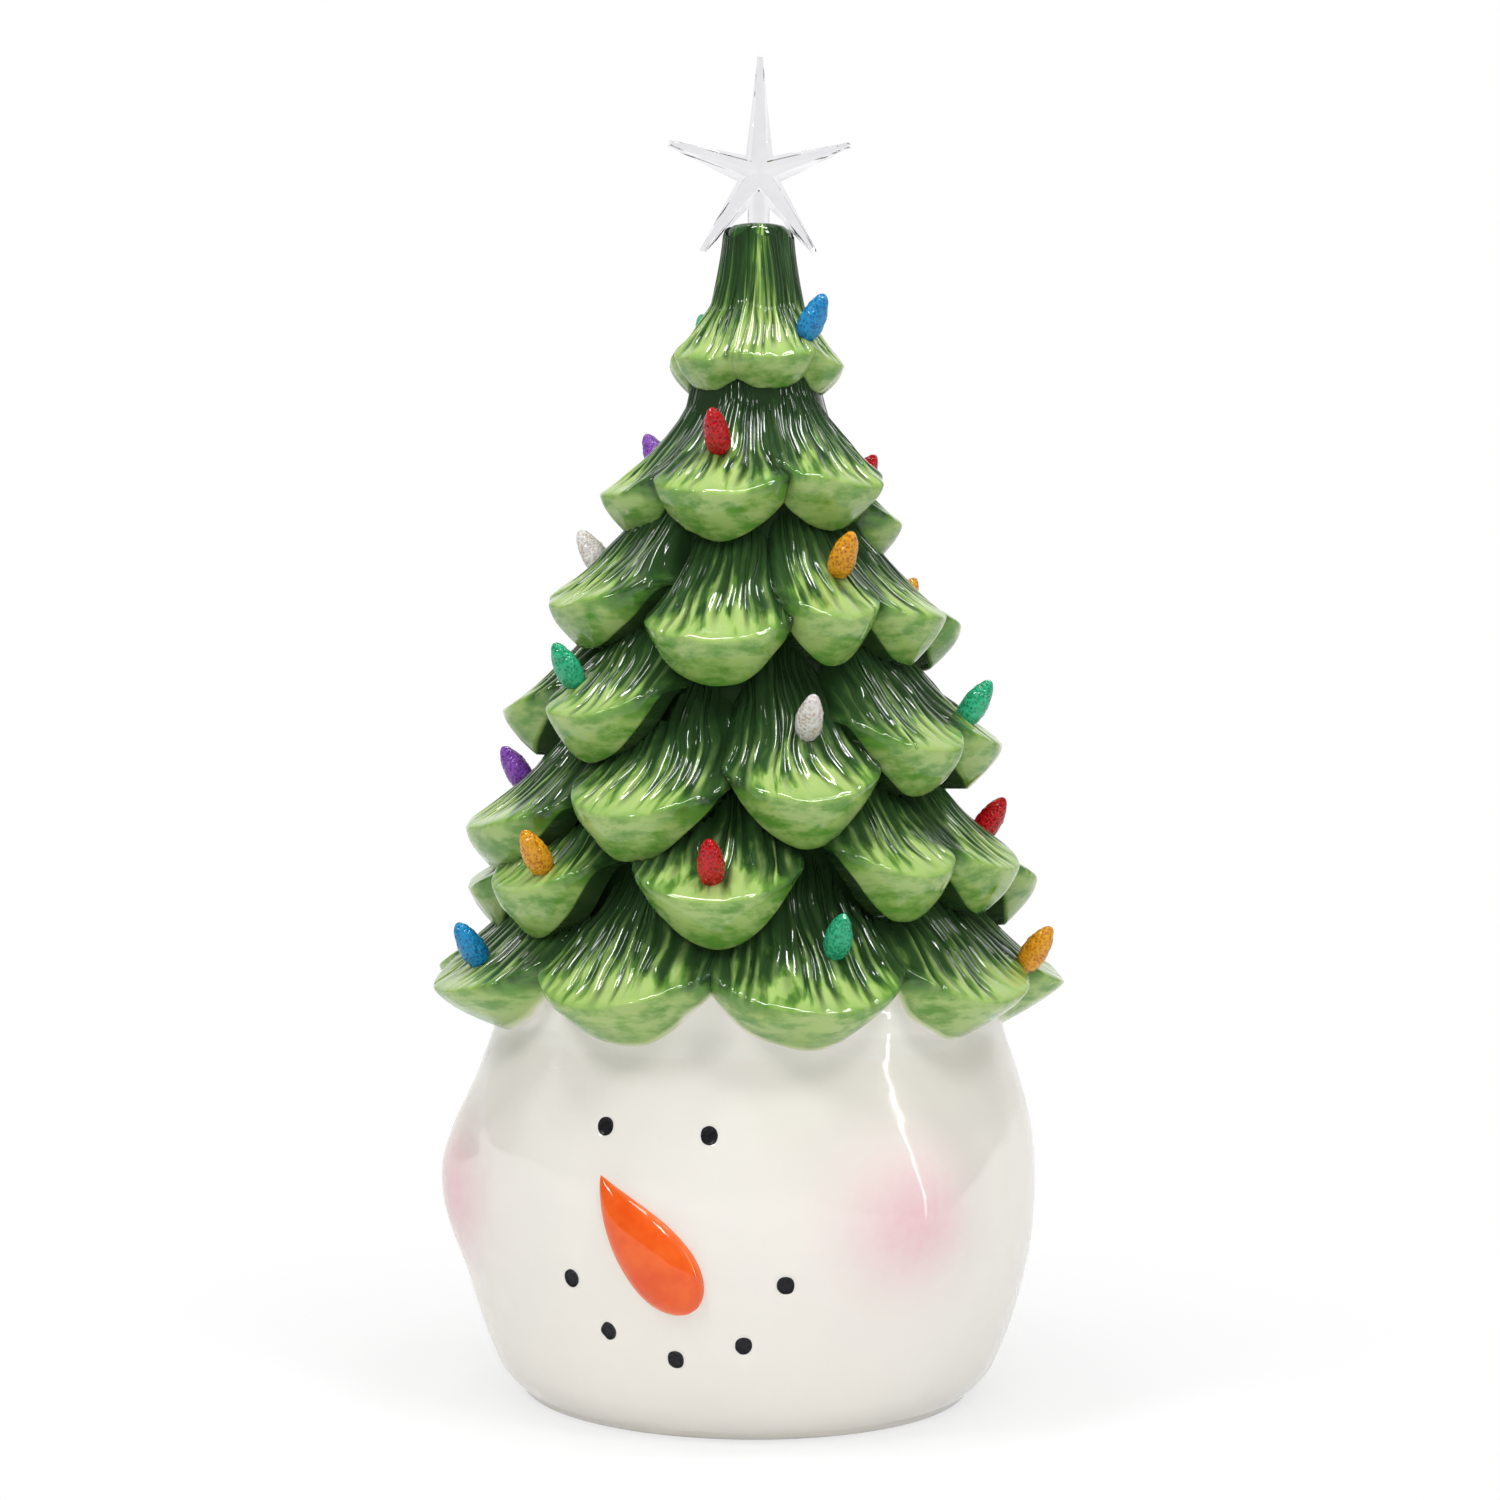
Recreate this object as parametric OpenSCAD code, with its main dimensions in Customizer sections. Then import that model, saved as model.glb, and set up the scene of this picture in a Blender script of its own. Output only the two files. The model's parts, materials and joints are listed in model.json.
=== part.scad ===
// Ceramic table decoration: a glazed tree on a snowman's head, lit from inside by a battery light.
// Millimetres, +Z up. The origin is the middle of the foot ring and the face looks along -Y.
// A bearing is an angle about Z, 0 at the face and growing toward +X.

/* [Snowman head] */
// Widest radius of the head
head_r = 71.2; // [70.4:0.2:72]
// Height of the widest ring above the table
head_widest_z = 52; // [51:0.5:53]
// Radius where the head meets the foot
foot_r = 57.5; // [56.5:0.5:58.5]
// Radius that the ball of the head has at the neck
neck_r = 60; // [59.5:0.5:60.5]
// Radius of the collar that rises from the head under the branches
collar_r = 61.8; // [61.6:0.1:62]
// Height of the neck, where the tree is luted on
neck_z = 92; // [91:0.5:93]
// Thickness of the ceramic
wall = 4.5; // [4:0.5:5]
// How far the cheeks stand out
cheek_rise = 4.6; // [3.6:0.2:5]
// Diameter of an eye or mouth dot
dot_d = 4.2; // [3.6:0.2:4.8]

/* [Tree] */
// Height of the flat top of the tree
tree_top_z = 287; // [286:0.5:288]
// Radius of that top
tree_top_r = 8.2; // [8:0.1:8.6]
// Radius of the highest branch tips
crown_tip_r = 21.8; // [21.2:0.2:22.4]
// Radius of the lowest branch tips
skirt_tip_r = 77; // [76:0.5:78]

/* [Star] */
// Height of the middle of the star
star_z = 299.4; // [299.2:0.2:300.4]
// Length of the upright arm
star_top_arm = 28.8; // [28:0.2:30]
// Length of the other arms
star_arm = 23.5; // [22.5:0.5:24]
// Radius of the star between its arms
star_waist_r = 5.6; // [5.2:0.1:6]
// Thickness in the middle
star_t = 7; // [6.5:0.5:7.5]
// Diameter of the stem
stem_d = 5.4; // [5:0.1:5.8]
// Bearing that the star faces
star_bearing = 18; // [0:1:30]

/* [Bulbs] */
// Length of a bulb above its seat
bulb_l = 11.8; // [11.4:0.2:12.4]
// Widest diameter of a bulb
bulb_d = 6.4; // [6.2:0.1:6.8]
// Diameter of the peg
peg_d = 3.2; // [3:0.1:3.4]
// Lean of a bulb from upright
bulb_lean = 33; // [30:1:36]

/* [Base] */
// Radius of the opening in the foot
opening_r = 46; // [45.5:0.5:46.5]
// Height of the base plate above the table
base_z = 2; // [1.8:0.1:2.4]
// Diameter of a cell
cell_d = 14.2; // [14:0.1:14.4]
// Length of a cell without its button
cell_l = 49; // [48.8:0.1:49.2]

/* [Light] */
// Width across the flats of the light post
post_af = 11; // [10.5:0.5:11.5]
// Height of the top of the post
post_top_z = 254; // [250:1:256]

/* [Hidden] */
$fn = 48;
// Clearance between pieces that move against each other, and of a running fit
gap = 0.3;
fit = 0.05;

// Head: two half ellipses that meet at the widest ring, drawn in at the foot and turned out to a collar
lower_h = head_widest_z / sqrt(1 - pow(foot_r / head_r, 2));
upper_h = (neck_z - head_widest_z) / sqrt(1 - pow(neck_r / head_r, 2));
foot_round = 1.5;
foot_tuck = 4;
tuck_h = 9;
collar_round = 3;
collar_low_z = neck_z - 10;
collar_top_z = neck_z + 16;
floor_t = 5;
outline_steps = 22;
cheek_r = 30;
dot_depth = 1.1;
enamel_t = 0.6;
// Places on the face, each a bearing and a height
cheeks = [[-66, 53], [52, 53]];
eyes = [[-10.8, 73.8], [10.5, 73.2]];
mouth = [[-17.2, 38], [-9.8, 26.5], [4, 21], [17.5, 25], [25.2, 39.5]];
// Nose from tip to root: bearing, height, ball radius, depth of the ball's middle below the glaze
nose = [[-10.6, 61.4, 1.8, 0.6], [-5.4, 52.7, 6.8, 3.2], [3.4, 40.4, 10.6, 6.6]];

// Tree: branches of one form, with the height of their tips, half their width in degrees, how far the tips
// stand out from the line through all tips, and their bearings
branch_rows = [
    [253, 30, 0, [-29, 31, 91, 151, 211, 271]],
    [223, 30, 0, [58]],
    [220, 30, 0, [-59, 1, 181, 241]],
    [214, 30, -5, [120]],
    [194, 25, 3, [-46]],
    [186, 24, 0, [6]],
    [192, 17, 0, [44]],
    [191, 19, 0, [77]],
    [189, 22, 0, [118, 163, 208, 258]],
    [168, 19, 2, [-73, -28]],
    [164, 21, 0, [138, 180, 222, 256]],
    [161, 20, 0, [65, 98]],
    [150, 20, 0, [31]],
    [146, 20, 0, [-10, 158, 200, 240]],
    [140, 26, 3, [-57]],
    [132, 17, 0, [53, 80]],
    [127, 18, 0, [10]],
    [125, 18, -2, [-70]],
    [127, 17, 0, [-36, 113, 150, 188, 226, 260]],
    [102, 20, 3, [-88, -50]],
    [103, 20, 1, [-10, 30]],
    [103, 19, 1, [69, 103, 135, 167, 199, 232]]
];
// The line through the tips, between these heights, and how much fuller than a cone it is
crown_z = 253;
skirt_z = 101;
tip_belly = 0.5;
// Upper face of a branch: its height, its slope, the gain with the radius up to a limit, and the easing
branch_h = 42;
rise_slope = 0.45;
rise_gain = 0.023;
rise_most = 1.55;
rise_ease = 0.02;
// The raised rim along the edge, and the rounding of the edge
edge_rim_rise = 0.8;
edge_rim_h = 2.2;
edge_round = 1.1;
// The edge rises toward the notches as this share of the radius, from this place on its bow
edge_dip = 0.1;
edge_middle = 0.15;
bow_power = 2;
bow_most = 1.3;
// The face under the edge: its height, how far it tucks in, how it curves, and the slope under its lip
face_h = 10.8;
face_least_h = 1;
face_gain = 0.27;
face_tuck = 0.75;
face_power = 1.5;
lip_slope = 3;
// Loss of the face's height toward a notch, growing with the radius, and the least share that is left
cusp_gain = 0.017;
cusp_less = 0.22;
cusp_most = 0.92;
face_least = 0.1;
// The lowest branches, whose faces run in to the collar
skirt_row_z = 104;
skirt_cusp = 0.5;
// Depth of the notch beside a branch as a share of the radius, less a fixed amount, and the fall past it
notch_share = 0.235;
notch_less = 4.2;
notch_most = 10;
notch_power = 2.5;
notch_fall = 3;
core_neck_r = neck_r - 1.2;
core_slope = (core_neck_r - tree_top_r) / (tree_top_z - neck_z);
// The core flares from the top over this height, and gains this factor lower down
core_flare = 20;
core_gain = 1.1;
crown_round = 3.2;
tree_wall = 4;
cavity_top_z = tree_top_z - 20;
cavity_steps = 10;
tree_cols = 90;
tree_rows = 50;

// Bulbs: bearing, height, colour
bulbs = [
    [62, 259.5, 0], [-126, 257.5, 1], [-1, 231, 2], [-110, 227.5, 3], [131, 222.5, 2], [-73, 202.5, 4],
    [50, 202, 5], [142, 192, 5], [-37, 175, 1], [33, 164, 4], [92, 167, 1], [-82, 148.5, 3],
    [-31, 131.5, 5], [10, 131.5, 2], [103, 138, 2], [-49, 108, 0], [36, 114.5, 1], [87, 108.5, 5],
    [190, 262, 5], [175, 232, 0], [235, 205, 1], [185, 198, 3], [225, 172, 2], [158, 168, 0],
    [178, 142, 4], [240, 134, 1], [205, 108, 5], [140, 109, 3]
];
bulb_colours = ["royalblue", "seagreen", "crimson", "purple", "whitesmoke", "orange"];
bulb_sink = 0.8;
bulb_steps = 14;
// The teardrop's share of a sine arch that is cut off at the seat, and how far its belly sits toward the seat
bulb_cut = 0.06;
bulb_skew = 0.7;
peg_l = 8;
seat_r = bulb_d / 2 + 0.3;

// Star: its tips cut square, its rim, and the flat facets along the arms with their crown in the middle
tip_half = 0.55;
rim_half = 0.35;
facet_in = 1.6;
facet_half = 0.35;
facet_share = 0.62;
facet_crown = 0.3;
socket_z = tree_top_z - 12;
light_hole_r = stem_d / 2 - 0.9;

// Base plate and the rubber ring round it
seal_t = 1.5;
plate_r = opening_r - seal_t;
plate_t = 3.6;
plate_top = base_z + plate_t;
seal_flange = 4;
skirt_t = 1.8;
rim_z = floor_t + seal_t + 0.3;
rim_h = 1.5;
rim_lip = 1.1;

// Battery box, cells along X
contact_t = 0.4;
contact_half = 5.5;
spring_l = 6.8;
button_l = 1.4;
button_r = 2.75;
cell_pitch = cell_d + 1.4;
box_x = (cell_l + button_l + spring_l) / 2 + contact_t;
box_y = 1.5 * cell_pitch + 0.4;
box_wall = 2;
door_t = 1.7;
box_low_z = base_z + door_t + gap;
cell_z = box_low_z + cell_d / 2 + 1.3;
box_high_z = cell_z + cell_d / 2 + 1.1;
roof_t = 1.8;
roof_z = box_high_z + roof_t;
spring_wire_r = 0.4;
spring_turns = 3.5;
spring_wide_r = 4.6;
spring_narrow_r = 2.6;
// Steps round one turn of a spring, and sides of its wire
turn_steps = 8;
wire_sides = 6;

// Battery door on two trunnions, held by one screw
hinge_y = -(box_y + 3.4);
hinge_z = base_z + 2.6;
hinge_half = box_x - 3.4;
barrel_r = 2.2;
trunnion_r = 1.3;
trunnion_l = 3.4;
trough_r = 3.2;
// Block that carries a trunnion: half its length, its reach either side of the axis, and its top
block_half = 2.4;
block_front = 3.4;
block_back = 4;
block_top = hinge_z + 3;
door_x = box_x + 0.6;
door_y = box_y + 2;
door_gap = 0.6;
lug_half = 6;
lug_y = door_y + 8;
screw_y = door_y + 4;
screw_r = 1.25;
screw_head_r = 2.5;
screw_head_t = 1;
screw_slot = [3.8, 0.6, 0.5];
screw_tip_z = base_z + 8;
lug_collar_r = 4;
lug_collar_z = base_z + 3;
boss_r = 4.6;
boss_z = base_z + 10;
// The tip swings sideways a little as the door opens, so its hole is wide
boss_hole_r = screw_r + 0.5;

// Slide switch beside the box
switch_x = 37.4;
knob_half = [1.7, 2.2];
slider_half = [2.4, 2.8];
knob_travel = 4;
knob_low_z = base_z - 1.1;
slider_z = plate_top + 1;
slider_t = 1.6;
switch_half = [4, 8];
switch_h = 4.6;
switch_wall = 0.7;
// Room beside the knob, at the ends of its travel and over its slider
side_room = 0.4;
end_room = 1.2;
top_room = 0.7;
knob_ribs = [-1.2, 0, 1.2];
knob_rib = [0.5, 0.8];

// Control board on the roof of the box
board_l = 46;
board_w = 11;
board_t = 1.6;
board_y = 19.6;
standoff_h = 1.6;
standoff_r = 2.6;
board_z = roof_z + standoff_h;
board_top = board_z + board_t;
board_screw_x = 18;
// On the board: a driver chip, three resistors and an upright capacitor
driver_x = -8;
driver_half = [3, 2.5];
driver_h = 1.6;
resistor_xs = [-2.5, 0, 2.5];
resistor_y = 2.5;
resistor_half = [0.7, 1.5];
resistor_h = 0.9;
capacitor_at = [9, 1];
capacitor_r = 2.5;
capacitor_h = 5;
small_screw_r = 0.95;
small_head_r = 2;
small_head_t = 1.4;
pilot_depth = 1.5;

// Light post with three strips of lamps
post_circum_r = post_af / sqrt(3);
post_bore_r = 3.2;
flange_r = 13;
flange_t = 2.4;
flange_top = roof_z + flange_t;
post_screw_r = 10;
post_screw_turns = [30, 150, 270];
strip_w = 5.5;
strip_t = 1;
strip_low_z = 34;
strip_high_z = post_top_z - 6;
strip_turns = [90, 210, 330];
chips_per_strip = 7;
chip_size = [1.7, 3.5, 2.8];
chip_offset = 0.6;
strip_face = post_af / 2 + strip_t;
jumper_r = 0.5;
jumper_ring_r = strip_face + 1.3;
jumper_start = 16;
jumper_zs = [strip_low_z + 1.5, strip_low_z + 7];
pad_r = 0.8;
cap_plug_l = 6;
cap_r = 6;

// Leads from the board to the first strip; the red one is at +X and the black one mirrors it
lead_r = 0.6;
lead_sides = 8;
lead_z = strip_low_z + 4;
lead_route = [
    [3, 16, board_top], [3, 16, board_top + 3], [2.7, 15, lead_z - 4], [2.2, 12.5, lead_z - 1],
    [1.9, 10, lead_z], [1.9, strip_face, lead_z]
];

function two_digits(n) = str(n < 10 ? "0" : "", n);
function bulb_name(i) = str("bulb_", two_digits(i + 1));

// Soft step from 0 at low to 1 at high
function soft_step(low, high, x) =
    let (t = max(0, min(1, (x - low) / (high - low))))
    t * t * (3 - 2 * t);

// Radius of the head's glaze at height z
function head_at(z) =
    let (h = z < head_widest_z ? lower_h : upper_h)
    let (tuck = foot_tuck * pow(max(0, 1 - z / tuck_h), 2))
    let (ball = head_r * sqrt(1 - pow((z - head_widest_z) / h, 2)) - tuck)
    let (collared = (ball + collar_r + norm([ball - collar_r, collar_round])) / 2)
    ball + (collared - ball) * soft_step(head_widest_z, collar_low_z, z);

function head_outline(inset, low, high) =
    [for (i = [0 : outline_steps]) let (z = low + (high - low) * i / outline_steps) [head_at(z) - inset, z]];

function foot_corner() =
    let (c = [head_at(foot_round) - foot_round, foot_round])
    [for (a = [-90 : 15 : -15]) c + foot_round * [cos(a), sin(a)]];

// Signed turn from -180 to 180
function turn(a) = ((a + 900) % 360) - 180;

// Radius of the branch tips at height z
function tip_at(z) =
    let (t = (crown_z - z) / (crown_z - skirt_z))
    crown_tip_r + (skirt_tip_r - crown_tip_r) * t * (1 + tip_belly * (1 - t));

// Each branch: bearing, height, half width, radius of its tips
branches = [for (row = branch_rows, a = row[3]) [a, row[0], row[1], tip_at(row[0]) + row[2]]];

// Bow of a branch's edge at a place s across it, from -1 to 1 between its notches
function bow_at(s) = min(pow(abs(s), bow_power), bow_most);

function is_lowest(b) = b[1] <= skirt_row_z;

// Height of the face under the edge
function face_at(b, bow) =
    let (cusp = is_lowest(b) ? skirt_cusp : min(cusp_most, cusp_gain * b[3] - cusp_less))
    min(face_h, face_least_h + face_gain * b[3]) * max(face_least, 1 - cusp * bow);

// Loss of radius toward the notch beside a branch, above its edge and below it
function notch_at(b, s) =
    min(notch_most, notch_share * b[3] - notch_less) * pow(abs(s), notch_power)
        + notch_fall * b[3] * pow(max(0, abs(s) - 1), 2);

function above_edge(b, h) =
    min(rise_most, rise_slope + rise_gain * b[3]) * (norm([h, edge_round]) - edge_round) / (1 + rise_ease * h)
        + edge_rim_rise * (1 - exp(-pow(h / edge_rim_h, 2)));

function below_edge(h, face, tuck) =
    tuck * pow(min(h, face) / face, face_power) + lip_slope * max(0, h - face);

function branch_at(b, a, z) =
    let (s = turn(a - b[0]) / b[2], bow = bow_at(s), face = face_at(b, bow), notch = notch_at(b, s))
    let (h = z - b[1] - edge_dip * b[3] * (bow - edge_middle))
    let (tuck = is_lowest(b) ? max(0, b[3] - notch - collar_r) : face_tuck * face)
    h > branch_h ? 0 : b[3] - notch - (h > 0 ? above_edge(b, h) : below_edge(-h, face, tuck));

function core_at(z) =
    let (e = tree_top_z - z, d = max(0, crown_round - e))
    tree_top_r + core_gain * core_slope * e * e / (e + core_flare)
        - crown_round + sqrt(crown_round * crown_round - d * d);

// Radius of the tree at bearing a and height z
function tree_at(a, z) =
    let (under = z < collar_top_z ? max(core_at(z), head_at(z)) : core_at(z))
    max(under, max([for (b = branches) branch_at(b, a, z)]));

function cavity_at(z) = core_at(z) - tree_wall;

// Teardrop radius at a share t of the bulb's length
function bulb_at(t) = bulb_d / 2 * sqrt(max(0, sin(180 * pow(bulb_cut + (1 - bulb_cut) * t, bulb_skew))));

// Tube of radius r along the points p, with rings square to the path and one side kept near +X
function tangent(p, i) =
    let (v = p[min(i + 1, len(p) - 1)] - p[max(i - 1, 0)])
    v / norm(v);

function square_to(t, v) =
    let (w = v - t * (t * v))
    w / norm(w);

function tube_points(p, r, sides, side_dirs) =
    [for (i = [0 : len(p) - 1])
        let (t = tangent(p, i), u = square_to(t, side_dirs[i]), w = cross(t, u))
        for (k = [0 : sides - 1]) p[i] + r * (cos(360 * k / sides) * u + sin(360 * k / sides) * w)];

function tube_faces(rings, sides) =
    concat(
        [[for (k = [sides - 1 : -1 : 0]) k]],
        [[for (k = [0 : sides - 1]) (rings - 1) * sides + k]],
        [for (i = [0 : rings - 2], k = [0 : sides - 1])
            let (a = i * sides + k, b = i * sides + (k + 1) % sides)
            each [[a, b, b + sides], [a, b + sides, a + sides]]]
    );

module tube(p, r, sides, side_dirs) {
    points = tube_points(p, r, sides, side_dirs);
    faces = [for (f = tube_faces(len(p), sides)) [for (k = [len(f) - 1 : -1 : 0]) f[k]]];
    polyhedron(points, faces);
}

module box(low, high) {
    translate(low)
        cube(high - low);
}

module rod(r, low, high) {
    translate([0, 0, low])
        cylinder(r = r, h = high - low);
}

// Puts its children on the head's glaze with +Z pointing outward
module on_face(bearing, z, depth = 0) {
    rotate([0, 0, bearing])
        translate([0, depth - head_at(z), z])
            rotate([90, 0, 0])
                children();
}

// Puts its children on the seat of a bulb with +Z along the bulb
module on_branch(b) {
    rotate([0, 0, b[0]])
        translate([0, -tree_at(b[0], b[1]), b[1]])
            rotate([bulb_lean, 0, 0])
                translate([0, 0, -bulb_sink])
                    children();
}

module head_solid() {
    rotate_extrude($fn = 180)
        polygon(concat([[0, 0]], foot_corner(), head_outline(0, foot_round, neck_z), [[0, neck_z]]));
}

module head_hollow() {
    inside = head_outline(wall, floor_t, neck_z);
    rotate_extrude()
        polygon(concat([[0, floor_t]], inside, [[inside[outline_steps][0], neck_z + 1], [0, neck_z + 1]]));
}

module dot_hole(d) {
    on_face(d[0], d[1], dot_depth)
        cylinder(d = dot_d, h = 2 * dot_depth);
}

module enamel_dots(dots) {
    color("black")
        for (d = dots)
            on_face(d[0], d[1], dot_depth)
                cylinder(d = dot_d, h = enamel_t);
}

module head_shell() {
    color("ivory")
        difference() {
            union() {
                head_solid();
                for (c = cheeks)
                    on_face(c[0], c[1], cheek_r - cheek_rise)
                        sphere(cheek_r);
            }
            head_hollow();
            rod(opening_r, -1, floor_t + 1);
            for (d = concat(eyes, mouth))
                dot_hole(d);
        }
}

module carrot_nose() {
    color("orangered")
        difference() {
            for (i = [0 : len(nose) - 2])
                hull()
                    for (n = [nose[i], nose[i + 1]])
                        on_face(n[0], n[1], n[3])
                            sphere(n[2], $fn = 24);
            head_solid();
        }
}

module coal_eyes() {
    enamel_dots(eyes);
}

module coal_mouth() {
    enamel_dots(mouth);
}

module tree_solid() {
    step_a = 360 / tree_cols;
    step_z = (tree_top_z - neck_z) / tree_rows;
    points = [
        for (j = [0 : tree_rows], i = [0 : tree_cols - 1])
            let (a = i * step_a, z = neck_z + j * step_z, r = tree_at(a, z))
            [r * sin(a), -r * cos(a), z]
    ];
    sides = [
        for (j = [0 : tree_rows - 1], i = [0 : tree_cols - 1])
            let (a = j * tree_cols + i, b = j * tree_cols + (i + 1) % tree_cols)
            each [[a, b + tree_cols, b], [a, a + tree_cols, b + tree_cols]]
    ];
    bottom = [for (i = [0 : tree_cols - 1]) i];
    top = [for (i = [tree_cols - 1 : -1 : 0]) tree_rows * tree_cols + i];
    polyhedron(points, concat(sides, [bottom, top]));
}

module tree_hollow() {
    low = neck_z - 1;
    side = [
        for (i = [0 : cavity_steps])
            let (z = low + (cavity_top_z - low) * i / cavity_steps)
            [cavity_at(z), z]
    ];
    rotate_extrude()
        polygon(concat([[0, low]], side, [[0, cavity_top_z]]));
}

// Peg hole with a flat seat, and a level duct from its end to the hollow of the tree
module bulb_hole(b) {
    depth = bulb_sink + peg_l + 1;
    end_r = tree_at(b[0], b[1]) - depth * sin(bulb_lean);
    end_z = b[1] - depth * cos(bulb_lean);
    on_branch(b) {
        rod(seat_r, 0, bulb_l);
        rod(peg_d / 2 + 2 * fit, bulb_sink - depth, 1);
    }
    rotate([0, 0, b[0]])
        translate([0, -end_r, end_z])
            rotate([-90, 0, 0])
                rod(peg_d / 2, 0, max(2, end_r - cavity_at(end_z) + 2));
}

module tree_shell() {
    color("forestgreen")
        difference() {
            tree_solid();
            tree_hollow();
            rod(stem_d / 2 + gap, socket_z - gap, tree_top_z + 1);
            rod(light_hole_r, cavity_top_z - 1, tree_top_z);
            for (b = bulbs)
                bulb_hole(b);
        }
}

// One outline of the star at a depth: three points to an arm, two at its tip and one in the corner after it
function star_ring(tip_in, half, corner_share, depth) =
    [for (k = [0 : 4])
        let (a = 90 + 72 * k, c = a + 36, r = (k == 0 ? star_top_arm : star_arm) - tip_in)
        let (out = [cos(a), 0, sin(a)], side = [-sin(a), 0, cos(a)], middle = r * out + [0, depth, 0])
        each [
            middle - half * side, middle + half * side,
            corner_share * star_waist_r * [cos(c), 0, sin(c)] + [0, depth, 0]
        ]];

module star_solid() {
    depth = star_t / 2;
    rings = [
        star_ring(facet_in, facet_half, facet_share, -depth), star_ring(0, tip_half, 1, -rim_half),
        star_ring(0, tip_half, 1, rim_half), star_ring(facet_in, facet_half, facet_share, depth)
    ];
    n = len(rings[0]);
    middles = [[0, -depth - facet_crown, 0], [0, depth + facet_crown, 0]];
    front = [for (i = [0 : n - 1]) [4 * n, (i + 1) % n, i]];
    back = [for (i = [0 : n - 1]) [4 * n + 1, 3 * n + i, 3 * n + (i + 1) % n]];
    sides = [
        for (j = [0 : 2], i = [0 : n - 1])
            let (a = j * n + i, b = j * n + (i + 1) % n)
            each [[a, b, b + n], [a, b + n, a + n]]
    ];
    polyhedron(concat(rings[0], rings[1], rings[2], rings[3], middles), concat(front, back, sides));
}

module star_topper() {
    color("lavender", 0.5)
        rotate([0, 0, star_bearing])
            union() {
                translate([0, 0, star_z])
                    star_solid();
                rod(stem_d / 2, socket_z, star_z - star_waist_r / 2);
            }
}

module bulb(b) {
    outline = [for (i = [0 : bulb_steps]) let (t = i / bulb_steps) [bulb_at(t), bulb_l * t]];
    color(bulb_colours[b[2]], 0.7)
        on_branch(b)
            rotate_extrude()
                polygon(concat([[0, -peg_l], [peg_d / 2, -peg_l], [peg_d / 2, 0]], outline));
}

module base_plate() {
    color("white")
        difference() {
            union() {
                rod(plate_r, base_z, plate_top);
                difference() {
                    union() {
                        rod(plate_r, base_z, rim_z + rim_h);
                        rod(plate_r + rim_lip, rim_z, rim_z + rim_h);
                    }
                    rod(plate_r - skirt_t, base_z, rim_z + rim_h + 1);
                }
                box([-box_x - box_wall, -door_y, base_z], [box_x + box_wall, door_y, roof_z]);
                for (side = [-1, 1])
                    translate([side * (hinge_half + gap + block_half), hinge_y, 0])
                        box([-block_half, -block_front, base_z], [block_half, block_back, block_top]);
                translate([0, screw_y, 0])
                    rod(boss_r, base_z, boss_z);
                for (side = [-1, 1])
                    translate([side * board_screw_x, board_y, 0])
                        rod(standoff_r, roof_z - 1, board_z);
            }
            battery_space();
            door_pocket();
            switch_slot();
            for (side = [-1, 1])
                translate([side * board_screw_x, board_y, 0])
                    rod(small_screw_r + fit, roof_z - pilot_depth, board_z + 1);
            for (a = post_screw_turns)
                rotate([0, 0, a])
                    translate([post_screw_r, 0, 0])
                        rod(small_screw_r + fit, roof_z - pilot_depth, roof_z + 1);
        }
}

module battery_space() {
    box([-box_x, -box_y, base_z - 1], [box_x, box_y, box_high_z]);
}

module door_pocket() {
    low = base_z - 1;
    box([-door_x - door_gap, hinge_y + trough_r, low], [door_x + door_gap, door_y + door_gap, box_low_z]);
    box([-lug_half - door_gap, door_y, low], [lug_half + door_gap, lug_y + door_gap, box_low_z]);
    translate([0, screw_y, 0]) {
        rod(lug_collar_r + door_gap, low, lug_collar_z + gap);
        rod(boss_hole_r, low, screw_tip_z + 1);
    }
    trough_half = hinge_half + gap;
    box([-trough_half, hinge_y - trough_r, low], [trough_half, hinge_y + trough_r + 1, hinge_z]);
    translate([-trough_half, hinge_y, hinge_z])
        rotate([0, 90, 0])
            rod(trough_r, 0, 2 * trough_half);
    translate([-hinge_half - trunnion_l - gap, hinge_y, hinge_z])
        rotate([0, 90, 0])
            rod(trunnion_r + fit, 0, 2 * (hinge_half + trunnion_l + gap));
}

module switch_slot() {
    half = [knob_half[0] + side_room, knob_half[1] + knob_travel / 2 + end_room];
    translate([switch_x, 0, 0])
        box(concat(-half, [base_z - 1]), concat(half, [plate_top + switch_wall + 1]));
}

module base_seal() {
    low = base_z - 0.4;
    color("dimgray")
        rotate_extrude()
            polygon([
                [plate_r, low], [opening_r, low], [opening_r, floor_t], [opening_r + seal_flange, floor_t],
                [opening_r + seal_flange, floor_t + seal_t], [plate_r, floor_t + seal_t]
            ]);
}

module battery_door() {
    top = base_z + door_t;
    color("white")
        difference() {
            union() {
                box([-door_x, hinge_y + trough_r + door_gap, base_z], [door_x, door_y, top]);
                box([-hinge_half, hinge_y - 1, base_z], [hinge_half, door_y, top]);
                box([-lug_half, door_y - 1, base_z], [lug_half, lug_y, top]);
                translate([0, screw_y, 0])
                    rod(lug_collar_r, base_z, lug_collar_z);
                translate([-hinge_half, hinge_y, hinge_z])
                    rotate([0, 90, 0]) {
                        rod(barrel_r, 0, 2 * hinge_half);
                        rod(trunnion_r, -trunnion_l, 2 * hinge_half + trunnion_l);
                    }
            }
            translate([0, screw_y, 0]) {
                rod(screw_head_r + gap, base_z - 1, base_z + screw_head_t + gap);
                rod(screw_r + gap, base_z, lug_collar_z + 1);
            }
        }
}

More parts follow.
